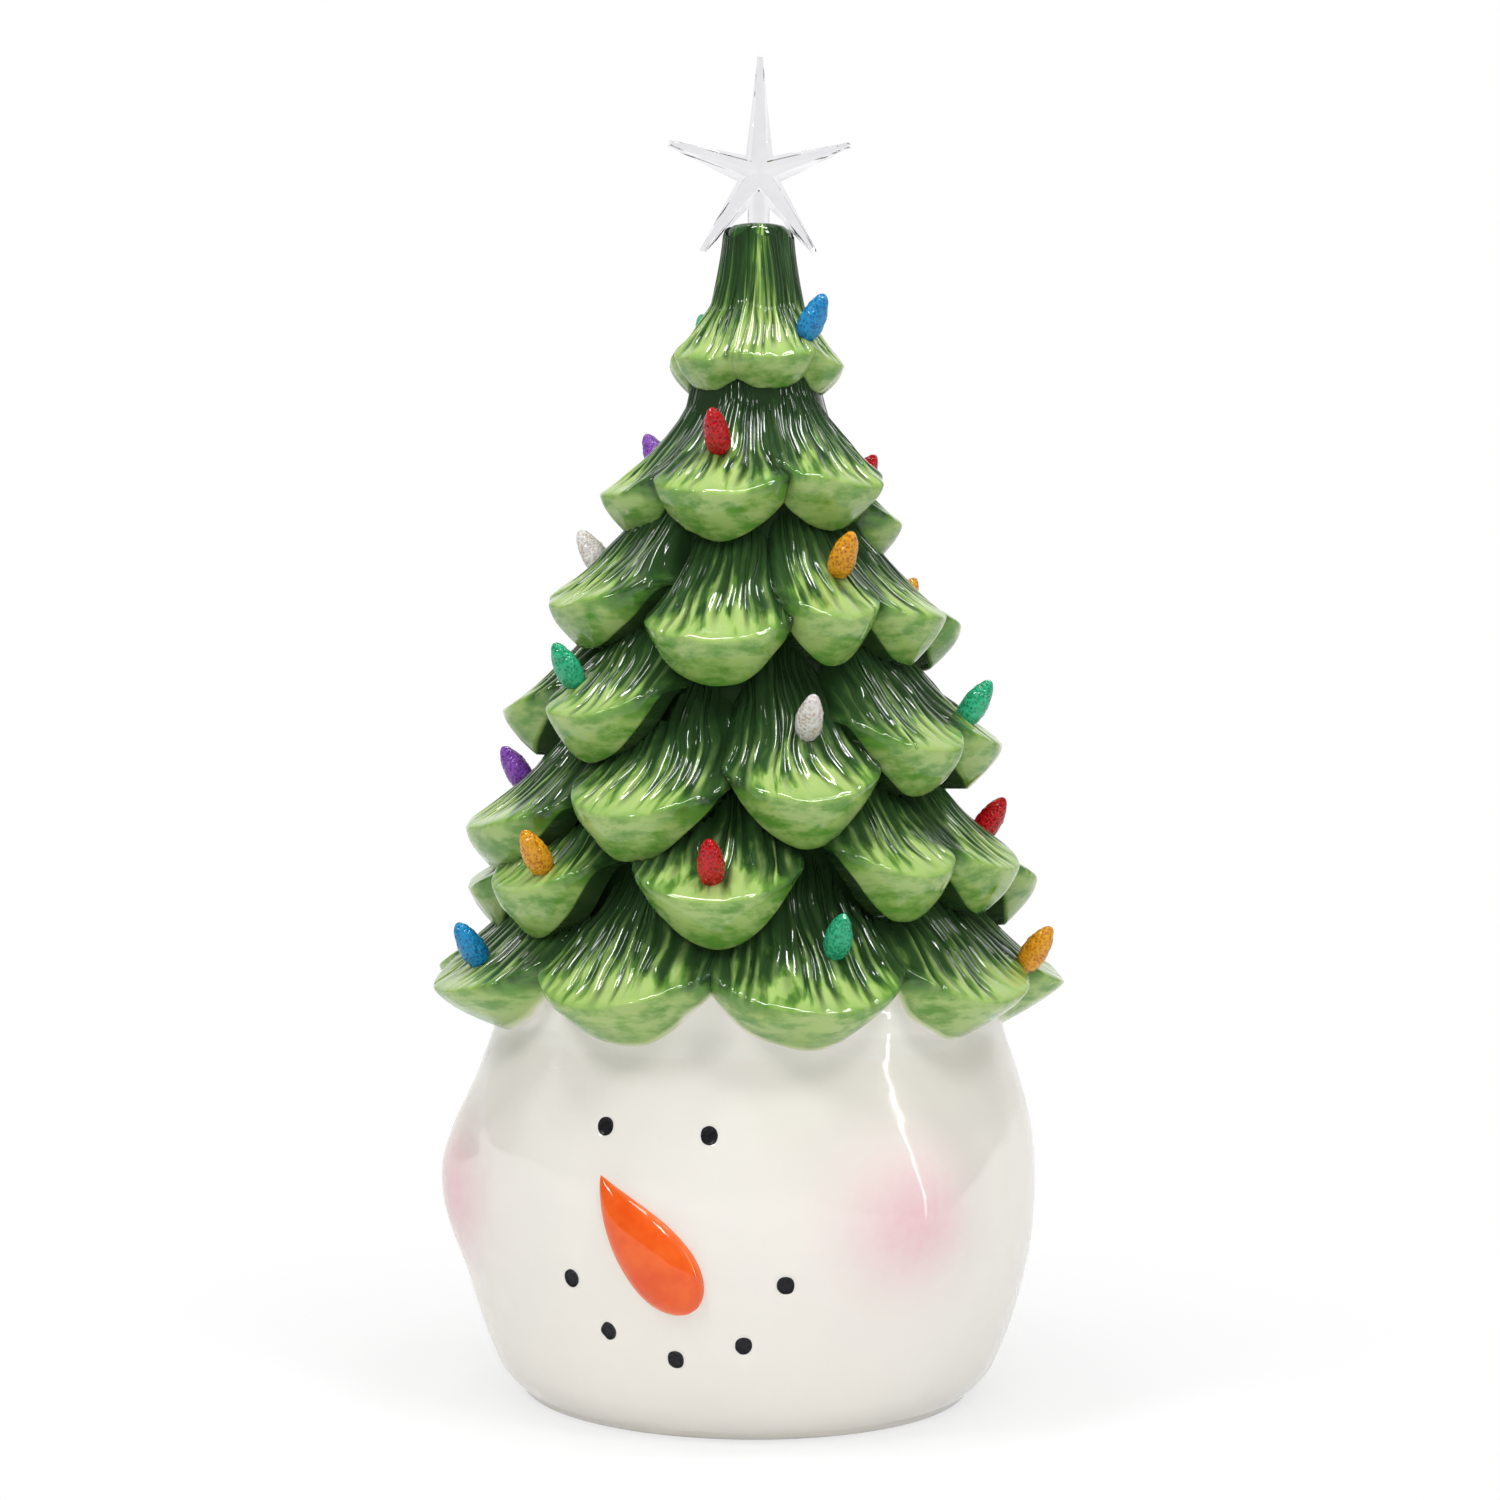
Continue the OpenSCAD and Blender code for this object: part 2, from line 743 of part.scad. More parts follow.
module door_screw() {
    color("silver")
        translate([0, screw_y, 0])
            difference() {
                union() {
                    rod(screw_head_r, base_z, base_z + screw_head_t);
                    rod(screw_r, base_z, screw_tip_z);
                }
                for (a = [0, 90])
                    rotate([0, 0, a])
                        translate([0, 0, base_z])
                            cube([screw_slot[0], screw_slot[1], 2 * screw_slot[2]], center = true);
            }
}

// Cell i of three; the middle one is turned end for end
module battery(i) {
    facing = i == 1 ? -1 : 1;
    start = -box_x + contact_t + spring_l;
    color("goldenrod")
        translate([0, (i - 1) * cell_pitch, cell_z])
            rotate([0, facing * 90, 0]) {
                rod(cell_d / 2, start, start + cell_l);
                rod(button_r, start, start + cell_l + button_l);
            }
}

// Cone-shaped spring along X from the contact plate at -X
module contact_spring() {
    steps = spring_turns * turn_steps;
    low = -box_x + contact_t + spring_wire_r;
    run = spring_l - 2 * spring_wire_r;
    path = [
        for (i = [0 : steps])
            let (t = i / steps, a = 360 * i / turn_steps)
            let (r = spring_wide_r + (spring_narrow_r - spring_wide_r) * t)
            [low + run * t, r * cos(a), r * sin(a)]
    ];
    tube(path, spring_wire_r, wire_sides, [for (p = path) [1, 0, 0]]);
}

// Clear distance between neighbouring turns, which must stay over 0.4
spring_gap = (spring_l - 2 * spring_wire_r) / spring_turns - 2 * spring_wire_r;
echo(spring_gap = spring_gap);

module contact_springs() {
    color("silver")
        for (i = [0 : 2])
            translate([0, (i - 1) * cell_pitch, cell_z])
                rotate([0, 0, i == 1 ? 180 : 0])
                    contact_spring();
}

// One plate joins two cells and one serves a single cell, at each end of the box
module contact_plates() {
    color("silver")
        for (side = [-1, 1])
            rotate([0, 0, side > 0 ? 0 : 180])
                for (span = [[-1, 0], [1, 1]])
                    box(
                        [box_x - contact_t, span[0] * cell_pitch - contact_half, cell_z - contact_half],
                        [box_x, span[1] * cell_pitch + contact_half, cell_z + contact_half]
                    );
}

module small_screw(under_head, length) {
    rod(small_head_r, under_head, under_head + small_head_t);
    rod(small_screw_r, under_head - length, under_head + small_head_t);
}

module control_board() {
    color("darkgreen")
        difference() {
            translate([0, board_y, 0])
                box([-board_l / 2, -board_w / 2, board_z], [board_l / 2, board_w / 2, board_top]);
            for (side = [-1, 1])
                translate([side * board_screw_x, board_y, 0])
                    rod(small_screw_r + fit, board_z - 1, board_top + 1);
        }
}

module board_parts() {
    color("dimgray")
        translate([0, board_y, board_top]) {
            translate([driver_x, 0, 0])
                box(concat(-driver_half, [0]), concat(driver_half, [driver_h]));
            translate(capacitor_at)
                rod(capacitor_r, 0, capacitor_h);
            for (x = resistor_xs)
                translate([x, resistor_y, 0])
                    box(concat(-resistor_half, [0]), concat(resistor_half, [resistor_h]));
        }
}

module board_screws() {
    color("silver")
        for (side = [-1, 1])
            translate([side * board_screw_x, board_y, 0])
                small_screw(board_top, board_t + standoff_h);
}

module switch_body() {
    space = [slider_half[0] + side_room, slider_half[1] + (knob_travel + end_room) / 2];
    low = plate_top + switch_wall;
    color("dimgray")
        difference() {
            translate([switch_x, 0, 0])
                difference() {
                    box(concat(-switch_half, [plate_top]), concat(switch_half, [plate_top + switch_h]));
                    box(concat(-space, [low]), concat(space, [low + slider_t + top_room]));
                }
            switch_slot();
        }
}

module switch_knob() {
    color("black")
        translate([switch_x, -knob_travel / 2, 0])
            difference() {
                union() {
                    box(concat(-knob_half, [knob_low_z]), concat(knob_half, [slider_z + slider_t]));
                    box(concat(-slider_half, [slider_z]), concat(slider_half, [slider_z + slider_t]));
                }
                for (y = knob_ribs)
                    translate([0, y, knob_low_z])
                        cube([2 * knob_half[0] + 1, knob_rib[0], knob_rib[1]], center = true);
            }
}

module light_post() {
    color("white")
        difference() {
            union() {
                rod(flange_r, roof_z, flange_top);
                translate([0, 0, roof_z])
                    cylinder(r = post_circum_r, h = post_top_z - roof_z, $fn = 6);
            }
            rod(post_bore_r, roof_z - 1, post_top_z + 1);
            for (a = post_screw_turns)
                rotate([0, 0, a])
                    translate([post_screw_r, 0, 0])
                        rod(small_screw_r + fit, roof_z - 1, flange_top + 1);
        }
}

module post_screws() {
    color("silver")
        for (a = post_screw_turns)
            rotate([0, 0, a])
                translate([post_screw_r, 0, 0])
                    small_screw(flange_top, flange_t + pilot_depth - gap);
}

module post_cap() {
    color("white", 0.8)
        union() {
            rod(post_bore_r - fit, post_top_z - cap_plug_l, post_top_z + 1);
            intersection() {
                translate([0, 0, post_top_z])
                    sphere(cap_r);
                rod(cap_r, post_top_z, post_top_z + cap_r);
            }
        }
}

module led_strip(i) {
    color("whitesmoke")
        rotate([0, 0, strip_turns[i]])
            box([post_af / 2, -strip_w / 2, strip_low_z], [strip_face, strip_w / 2, strip_high_z]);
}

module led_chips() {
    pitch = (strip_high_z - strip_low_z) / chips_per_strip;
    color("khaki")
        for (a = strip_turns, k = [0 : chips_per_strip - 1])
            rotate([0, 0, a])
                translate([strip_face, -chip_size[1] / 2, strip_low_z + pitch * (k + chip_offset)])
                    cube(chip_size);
}

// Wires round the post from strip to strip, each soldered to a pad at both ends
module strip_jumpers() {
    color("firebrick")
        for (z = jumper_zs, a = [strip_turns[0], strip_turns[1]])
            translate([0, 0, z])
                rotate([0, 0, a]) {
                    rotate([0, 0, jumper_start])
                        rotate_extrude(angle = 120 - 2 * jumper_start)
                            translate([jumper_ring_r, 0])
                                circle(jumper_r);
                    for (side = [[0, 1], [120, -1]])
                        rotate([0, 0, side[0]])
                            translate([strip_face, side[1] * jumper_ring_r * sin(jumper_start), 0])
                                rotate([0, 90, 0])
                                    cylinder(r = pad_r, h = jumper_ring_r - strip_face + jumper_r);
                }
}

module lead(side) {
    route = [for (p = lead_route) [side * p[0], p[1], p[2]]];
    tube(route, lead_r, lead_sides, [for (p = route) [1, 0, 0]]);
}

module lead_red() {
    color("red")
        lead(1);
}

module lead_black() {
    color("black")
        lead(-1);
}

tree_shell();
head_shell();
carrot_nose();
coal_eyes();
coal_mouth();
star_topper();
for (i = [0 : len(bulbs) - 1])
    bulb(bulbs[i]);
base_plate();
base_seal();
battery_door();
door_screw();
for (i = [0 : 2])
    battery(i);
contact_springs();
contact_plates();
control_board();
board_parts();
board_screws();
switch_body();
switch_knob();
light_post();
post_screws();
post_cap();
for (i = [0 : 2])
    led_strip(i);
led_chips();
strip_jumpers();
lead_red();
lead_black();
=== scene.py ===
# Finish, glaze relief and studio for a glazed ceramic tree that stands on a snowman's head.
# Shapes are worked out in millimetres in the part's own frame: +Z up, the face toward -Y.
# A bearing is an angle about Z in degrees, 0 at the face and growing toward +X.
import json
import math

import bpy
import numpy as np
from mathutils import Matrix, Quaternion, Vector


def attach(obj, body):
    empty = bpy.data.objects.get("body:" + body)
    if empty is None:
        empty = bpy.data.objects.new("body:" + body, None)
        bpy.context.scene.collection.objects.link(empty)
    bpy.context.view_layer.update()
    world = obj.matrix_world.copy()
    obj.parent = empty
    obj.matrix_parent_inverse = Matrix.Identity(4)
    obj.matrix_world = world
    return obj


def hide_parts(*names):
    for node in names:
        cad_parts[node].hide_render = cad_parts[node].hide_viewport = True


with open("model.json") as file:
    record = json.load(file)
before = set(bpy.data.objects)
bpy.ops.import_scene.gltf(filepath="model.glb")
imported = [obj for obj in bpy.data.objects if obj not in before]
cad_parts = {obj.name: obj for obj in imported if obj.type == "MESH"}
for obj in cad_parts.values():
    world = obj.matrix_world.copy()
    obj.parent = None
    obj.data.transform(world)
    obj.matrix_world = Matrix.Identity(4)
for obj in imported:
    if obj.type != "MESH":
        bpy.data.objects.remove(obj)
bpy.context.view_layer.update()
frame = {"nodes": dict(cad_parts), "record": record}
MM = 0.001

# Head
HEAD_R = 71.2
HEAD_WIDEST_Z = 52.0
FOOT_R = 57.5
FOOT_ROUND = 1.5
FOOT_TUCK = 4.0
FOOT_TUCK_H = 9.0
NECK_R = 60.0
NECK_Z = 92.0
HEAD_WALL = 4.5
FLOOR_T = 5.0
OPENING_R = 46.0
OPENING_EDGE = 0.6
CHEEKS = ((-66, 53), (52, 53))
CHEEK_RISE = 4.6
CHEEK_REACH = 27.0
BLUSH = ((-57, 51), (48.5, 53.5))
BLUSH_SPREAD = 10.5
BLUSH_MOST = 0.8
EYES = ((-10.8, 73.8), (10.5, 73.2))
MOUTH = ((-17.2, 38), (-9.8, 26.5), (4, 21), (17.5, 25), (25.2, 39.5))
DOT_R = 2.1
DOT_DEPTH = 0.9
DOT_CROWN = 0.3
DOT_WOBBLE = 0.07
DOT_PROUD = 0.03
# Mesh of a dot: its rings as shares of its outline, and the ring under its rim
DOT_SIDES = 28
DOT_STEPS = (0.02, 0.3, 0.55, 0.75, 0.9, 1.0)
DOT_UNDER = 0.992
# The side of a dimple runs between these shares of the dot's radius
DIMPLE_INNER = 0.55
DIMPLE_OUTER = 1.3
# Mesh of the head, close together over the face: bearings and heights where the face begins and ends,
# then rows of points from a height to a height
FACE_FROM = -28
FACE_TO = 36
FACE_LOW_Z = 16
FACE_HIGH_Z = 78
FACE_COLUMNS = 152
REST_COLUMNS = 156
HEAD_LEVELS = ((FOOT_ROUND, FACE_LOW_Z, 14), (FACE_LOW_Z, FACE_HIGH_Z, 104))
NECK_LEVELS = 13
INNER_LEVELS = 24
# Nose: bearing and height along its middle line, from the tip to the round end
NOSE_LINE = (
    (-10.6, 62.9), (-7.4, 57), (-3.9, 51.2), (-0.3, 45.7), (3.7, 40.3), (6.2, 35.9), (8, 33),
)
NOSE_HALF_W = 8.3
NOSE_RISE = 4.2
NOSE_WIDEST = 0.68
NOSE_TAPER = 0.95
NOSE_BED = 0.05
NOSE_SINK = 0.8
NOSE_END = 0.004
NOSE_RINGS = 64
NOSE_COLUMNS = 33

# Tree: height of the tips, half width in degrees, how far the tips stand out, bearings
BRANCH_ROWS = (
    (253, 30, 0, (-29, 31, 91, 151, 211, 271)),
    (223, 30, 0, (58,)),
    (220, 30, 0, (-59, 1, 181, 241)),
    (214, 30, -5, (120,)),
    (194, 25, 3, (-46,)),
    (186, 24, 0, (6,)),
    (192, 17, 0, (44,)),
    (191, 19, 0, (77,)),
    (189, 22, 0, (118, 163, 208, 258)),
    (168, 19, 2, (-73, -28)),
    (164, 21, 0, (138, 180, 222, 256)),
    (161, 20, 0, (65, 98)),
    (150, 20, 0, (31,)),
    (146, 20, 0, (-10, 158, 200, 240)),
    (140, 26, 3, (-57,)),
    (132, 17, 0, (53, 80)),
    (127, 18, 0, (10,)),
    (125, 18, -2, (-70,)),
    (127, 17, 0, (-36, 113, 150, 188, 226, 260)),
    (102, 20, 3, (-88, -50)),
    (103, 20, 1, (-10, 30)),
    (103, 19, 1, (69, 103, 135, 167, 199, 232)),
)
TREE_LOW_Z = NECK_Z - 7
TREE_TOP_Z = 287.0
TREE_TOP_R = 8.2
CROWN_Z = 253.0
CROWN_TIP_R = 21.8
SKIRT_Z = 101.0
SKIRT_TIP_R = 77.0
TIP_BELLY = 0.5
# Upper face of a branch: its slope at the edge, easing with height, and the raised rim along the edge
RISE_SLOPE = 0.45
RISE_GAIN = 0.023
RISE_MOST = 1.55
RISE_EASE = 0.02
RIM_RISE = 0.8
RIM_H = 2.2
EDGE_ROUND = 1.1
EDGE_DIP = 0.1
EDGE_MIDDLE = 0.15
BOW_POWER = 2.0
BOW_MOST = 1.3
# Face under the edge: its height, and how much less it is at a notch
FACE_H = 10.8
FACE_LEAST_H = 1.0
FACE_GAIN = 0.27
FACE_LEAST = 0.1
CUSP_GAIN = 0.017
CUSP_LESS = 0.22
CUSP_MOST = 0.92
# How far the face tucks in, and the slope under its lip
FACE_TUCK = 0.75
FACE_POWER = 1.5
LIP_SLOPE = 3.0
# How far a branch draws in at its notches and beyond them
NOTCH_SHARE = 0.235
NOTCH_LESS = 4.2
NOTCH_MOST = 10.0
NOTCH_POWER = 2.5
NOTCH_FALL = 3.0
# The lowest branches, whose faces run in to the white collar at the top of the head
SKIRT_ROW_Z = 104
SKIRT_CUSP = 0.5
SKIRT_BITE = 0.3
COLLAR_R = 61.8
COLLAR_ROUND = 3.0
COLLAR_LOW_Z = NECK_Z - 10
COLLAR_TOP_Z = 108.0
COLLAR_END_Z = COLLAR_TOP_Z + 4
COLLAR_SINK = 0.1
COLLAR_LIFT = 0.15
COLLAR_FALL = 6.0
# Core of the tree, and how much of it covers the upper end of a branch
CORE_NECK_R = NECK_R - 1.2
CORE_SLOPE = (CORE_NECK_R - TREE_TOP_R) / (TREE_TOP_Z - NECK_Z)
CORE_FLARE = 20.0
CORE_GAIN = 1.1
CORE_COVER = 0.6
CORE_NOTCH = 0.5
CROWN_ROUND = 3.2
TREE_WALL = 4.0
CAVITY_TOP_Z = TREE_TOP_Z - 20
SOCKET_Z = TREE_TOP_Z - 12.3
SOCKET_R = 3.0
SOCKET_EDGE = 0.4
# Unevenness of the castings, in layers of lumps on a plain cylinder: seed, height and size
CAST_R = 60.0
HEAD_UNEVEN = ((11, 0.2, 13.0), (12, 0.08, 4.0))
TREE_UNEVEN = ((51, 0.6, 8.0), (52, 0.26, 3.5))
SWELL_FROM_R = 9.0
SWELL_FULL_R = 30.0
# Wander of edges that were shaped by hand: turn and rise, which fade out between two heights
WANDER = 1.3
WANDER_TURN = ((21, 1.1, 13.0),)
WANDER_RISE = ((22, 0.75, 14.0), (23, 0.2, 5.0))
WANDER_LOW_Z = 250.0
WANDER_HIGH_Z = TREE_TOP_Z - 5
# Engraved needles on the upper face of a branch, closer together on the small branches
NEEDLE_PITCH = 4.3
NEEDLE_LEAST = 2.6
NEEDLE_GAIN = 0.035
NEEDLE_DEPTH = 1.3
NEEDLE_FULL_R = 50.0
NEEDLE_FAN = 0.2
FEWEST_NEEDLES = 6
FAN_H = 32.0
# Crown: its needles fade toward the top, and its glaze darkens more slowly, most of all in a pale band
CROWN_NEEDLES = 18
CROWN_NEEDLE_DEPTH = 0.5
CROWN_SMOOTH = 0.65
CROWN_SMOOTH_FROM = 8
CROWN_SMOOTH_TO = 24
CROWN_PALE = 0.68
CROWN_VARY = 0.8
BAND_BEARING = 24.0
BAND_WIDTH = 12.0
BAND_PALE = 0.75
# Mesh of a branch: places across one needle, its reach to the sides in half widths, its rows over the edge,
# closest together at the edge, then rows down its face as shares of it, and rows inward under the lip
NEEDLE_PLACES = (0.0, 0.2, 0.5, 0.8)
BRANCH_SPAN = 1.3
BRANCH_TOP = 42.0
BRANCH_LEVELS = 34
LEVEL_POWER = 1.3
TOP_CLEAR = 3.0
FACE_STEPS = (0.05, 0.14, 0.26, 0.4, 0.55, 0.7, 0.83, 0.93, 1.0)
LIP_STEPS = (0.8, 2.5, 8.0)
# Faces that lie deeper than this under their neighbours are left out
BURIED = -1.0
# Mesh of the core: rows of points from a height to a height, with needles only on the crown
CORE_SIDES = 150
CORE_BARE_Z = 250.0
CORE_CROWN_Z = 262.0
CORE_LEVELS = (
    (TREE_LOW_Z, COLLAR_END_Z, 34), (COLLAR_END_Z, CORE_CROWN_Z, 40),
    (CORE_CROWN_Z, TREE_TOP_Z - CROWN_ROUND, 22),
)
CAVITY_LEVELS = 12
# Values stored on the tree's mesh for its glaze, and for the shade painted into its creases and under its
# lips
GLAZE_VALUES = ("over", "across", "needle", "strength", "crease", "white", "under")

# Bulbs
BULB_L = 11.8
BULB_D = 6.4
BULB_LEAN = 33.0
BULB_SINK = 0.8
BULB_CUT = 0.06
BULB_SKEW = 0.7
PEG_R = 1.6
PEG_L = 8.0
BULB_SIDES = 40
BULB_RINGS = 34
BULB_CLOSE = 0.985
PLAIN_RINGS = 3
# Pebbled skin: its height, then seed, share and pace of its layers
PEBBLE = 0.16
PEBBLES = ((200, 1.0, 1.1), (300, 0.6, 2.0))
# Bearing and height of each bulb's seat
BULBS = (
    (62, 259.5), (-126, 257.5), (-1, 231), (-110, 227.5), (131, 222.5), (-73, 202.5), (50, 202),
    (142, 192), (-37, 175), (33, 164), (92, 167), (-82, 148.5), (-31, 131.5), (10, 131.5),
    (103, 138), (-49, 108), (36, 114.5), (87, 108.5), (190, 262), (175, 232), (235, 205),
    (185, 198), (225, 172), (158, 168), (178, 142), (240, 134), (205, 108), (140, 109),
)

# Star
STAR_Z = 299.4
STAR_TOP_ARM = 28.8
STAR_ARM = 23.5
STAR_WAIST_R = 5.6
STAR_T = 7.0
STAR_CROWN = 0.3
STAR_TIP_W = 0.7
STAR_TIP_CUT = 0.9
STAR_EDGE = 0.35
FACET_TIP = 0.7
FACET_WAIST = 0.62
STAR_BEARING = 18.0
STEM_R = 2.7
STEM_END_R = 2.2
STEM_EDGE = 0.6
STEM_LOW_Z = SOCKET_Z + 0.3
STEM_HIGH_Z = STAR_Z - 1
STEM_SIDES = 32

# Camera, fitted to the photograph: bearing and height angle, distance in metres, lens on a 36 mm frame
VIEW_BEARING = 18.0
VIEW_ELEVATION = 2.5
VIEW_DISTANCE = 0.78
VIEW_TARGET = Vector((-0.0006, -0.0002, 0.158))
VIEW_LENS = 75.7
VIEW_ROLL = 0.65
LAMP_TARGET = Vector((0, 0, 0.15))
# Floor in metres: half its width, how far it lies under the object, and where the shadow fades out
FLOOR_HALF = 6.0
FLOOR_DROP = 0.0002
SHADOW_FROM = 0.07
SHADOW_TO = 0.22
# Strength of the even light, of the room mirrored in the gloss, and of the room seen through clear plastic
EVEN_LIGHT = 0.42
ROOM_LIGHT = 0.12
CLEAR_LIGHT = 0.5
# Where the room gives way to the white backdrop: cosines of the angle from straight behind the object
BACKDROP_MIRRORED = (0.4, 0.95)
BACKDROP_THROUGH = (-0.3, 0.85)


def smooth(low, high, x):
    """Soft step from 0 at low to 1 at high."""
    t = np.clip((x - low) / (high - low), 0, 1)
    return t * t * (3 - 2 * t)


def noise(seed, *coords):
    """Smooth noise from -1 to 1 over arrays of coordinates, with one lattice value a unit."""
    size = 64
    table = np.random.default_rng(seed).uniform(-1, 1, (size,) * len(coords))
    cells = [np.floor(c).astype(int) for c in coords]
    parts = [smooth(0, 1, c - k) for c, k in zip(coords, cells)]
    total = 0
    for corner in np.ndindex(*(2,) * len(coords)):
        weight = 1
        cell = []
        for axis, up in enumerate(corner):
            weight = weight * (parts[axis] if up else 1 - parts[axis])
            cell.append((cells[axis] + up) % size)
        total = total + weight * table[tuple(cell)]
    return total


def turn(a):
    """Signed turn from -180 to 180."""
    return (a + 900) % 360 - 180


def around(bearing, radius, height):
    """Points at bearings, radii and heights."""
    a = np.radians(bearing)
    return np.stack(np.broadcast_arrays(radius * np.sin(a), -radius * np.cos(a), height), -1)


def look(bearing, elevation):
    """Unit vector toward a viewer at a bearing and height angle."""
    a, e = math.radians(bearing), math.radians(elevation)
    return Vector((math.sin(a) * math.cos(e), -math.cos(a) * math.cos(e), math.sin(e)))


def circle(sides):
    """Cosines and sines of the angles round a circle."""
    a = np.linspace(0, 2 * math.pi, sides, endpoint=False)
    return np.cos(a), np.sin(a)


def pole(z):
    """One point on the middle axis, as a ring of its own."""
    return np.array([[0, 0, z]])


def capped(rings):
    """Rings with a point in the middle of each end."""
    return [rings[0].mean(0)[None], *rings, rings[-1].mean(0)[None]]


def stitch(rings, closed=False):
    """Points and faces of a skin over rings of points, where a ring of one point closes an end."""
    starts = np.cumsum([0] + [len(r) for r in rings])
    faces = []
    pairs = list(zip(range(len(rings) - 1), range(1, len(rings))))
    if closed:
        pairs.append((len(rings) - 1, 0))
    for low, high in pairs:
        n, m = len(rings[low]), len(rings[high])
        a, b = starts[low], starts[high]
        i = np.arange(max(n, m))
        j = (i + 1) % len(i)
        if n == 1:
            faces += np.stack([a + 0 * i, b + j, b + i], 1).tolist()
        elif m == 1:
            faces += np.stack([a + i, a + j, b + 0 * i], 1).tolist()
        else:
            faces += np.stack([a + i, a + j, b + j, b + i], 1).tolist()
    return np.concatenate(rings), faces


def spun(points, bearing):
    """Points turned about Z, from the face to a bearing."""
    yaw = math.radians(bearing)
    spin = np.array([[math.cos(yaw), -math.sin(yaw), 0], [math.sin(yaw), math.cos(yaw), 0], [0, 0, 1]])
    return points @ spin.T


def add_object(name, data):
    """An object in the scene that shows a mesh, a lamp or a camera."""
    thing = bpy.data.objects.new(name, data)
    bpy.context.scene.collection.objects.link(thing)
    return thing


def add_piece(name, points, faces, material, body, nodes, values=None, soft=True):
    """A mesh piece from points in millimetres, that rides on a body and stands for CAD nodes."""
    mesh = bpy.data.meshes.new(name)
    mesh.from_pydata((np.asarray(points) * MM).tolist(), [], faces)
    mesh.polygons.foreach_set("use_smooth", [soft] * len(mesh.polygons))
    for key, data in (values or {}).items():
        stored = mesh.attributes.new(key, "FLOAT", "POINT")
        stored.data.foreach_set("value", np.asarray(data, dtype=np.float32))
    mesh.validate()
    mesh.update()
    piece = add_object(name, mesh)
    mesh.materials.append(material)
    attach(piece, body)
    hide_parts(*nodes)


# Surfaces of the head and the tree
def head_radius(z):
    """Radius of the head's plain glaze at height z."""
    lower = HEAD_WIDEST_Z / math.sqrt(1 - (FOOT_R / HEAD_R) ** 2)
    upper = (NECK_Z - HEAD_WIDEST_Z) / math.sqrt(1 - (NECK_R / HEAD_R) ** 2)
    share = (z - HEAD_WIDEST_Z) / np.where(z < HEAD_WIDEST_Z, lower, upper)
    tuck = FOOT_TUCK * np.maximum(0, 1 - z / FOOT_TUCK_H) ** 2
    ball = HEAD_R * np.sqrt(np.maximum(0, 1 - share * share)) - tuck
    collared = (ball + COLLAR_R + np.hypot(ball - COLLAR_R, COLLAR_ROUND)) / 2
    return ball + (collared - ball) * smooth(HEAD_WIDEST_Z, COLLAR_LOW_Z, z)


def face_distance(bearing, z, spot):
    """Distance along the glaze from a spot on the head."""
    return np.hypot(np.radians(turn(bearing - spot[0])) * HEAD_R, z - spot[1])


def cast_noise(seed, bearing, z, size):
    """Smooth noise with lumps of a size in millimetres, on a plain cylinder."""
    x, y, z = np.moveaxis(around(bearing, CAST_R, z), -1, 0) / size
    return noise(seed, x, y, z)


def uneven(layers, bearing, z):
    """Unevenness of a casting, from layers of lumps."""
    return sum(height * cast_noise(seed, bearing, z, size) for seed, height, size in layers)


def head_relief(bearing, z):
    """How far the glaze stands out from the plain head, with its cheeks and the dots' dimples."""
    rise = uneven(HEAD_UNEVEN, bearing, z)
    for spot in CHEEKS:
        near = np.maximum(0, 1 - (face_distance(bearing, z, spot) / CHEEK_REACH) ** 2)
        rise = rise + CHEEK_RISE * near * near
    for spot in EYES + MOUTH:
        d = face_distance(bearing, z, spot)
        rise = rise - DOT_DEPTH * (1 - smooth(DIMPLE_INNER * DOT_R, DIMPLE_OUTER * DOT_R, d))
    return rise


def core_radius(z):
    """Radius of the tree's core at height z."""
    e = TREE_TOP_Z - z
    d = np.maximum(0, CROWN_ROUND - e)
    flare = CORE_GAIN * CORE_SLOPE * e * e / (e + CORE_FLARE)
    return TREE_TOP_R + flare - CROWN_ROUND + np.sqrt(np.maximum(0, CROWN_ROUND ** 2 - d * d))


def tip_radius(z):
    """Radius of the branch tips at height z."""
    t = (CROWN_Z - z) / (CROWN_Z - SKIRT_Z)
    return CROWN_TIP_R + (SKIRT_TIP_R - CROWN_TIP_R) * t * (1 + TIP_BELLY * (1 - t))


# Every branch: bearing of its middle, height of its tip, half width in degrees, radius of its tip
BRANCHES = [
    (bearing, tip_z, half, tip_radius(tip_z) + out)
    for tip_z, half, out, bearings in BRANCH_ROWS for bearing in bearings
]


def collar_radius(z):
    """Radius of the tree under its branches: the core, and the white collar that rises from the head."""
    collar = head_radius(z) - COLLAR_SINK + COLLAR_LIFT * smooth(TREE_LOW_Z, NECK_Z, z)
    collar = collar - COLLAR_FALL * smooth(COLLAR_TOP_Z - 2, COLLAR_END_Z, z)
    return np.maximum(core_radius(z), np.where(z < COLLAR_END_Z, collar, 0))


def branch_edge(branch, s):
    """Rise of a branch's edge and height of its face, at a place across it from -1 to 1 between notches."""
    _, tip_z, _, tip_r = branch
    bow = np.minimum(np.abs(s) ** BOW_POWER, BOW_MOST)
    cusp = SKIRT_CUSP if tip_z <= SKIRT_ROW_Z else min(CUSP_MOST, CUSP_GAIN * tip_r - CUSP_LESS)
    face = min(FACE_H, FACE_LEAST_H + FACE_GAIN * tip_r)
    return EDGE_DIP * tip_r * (bow - EDGE_MIDDLE), face * np.maximum(FACE_LEAST, 1 - cusp * bow)


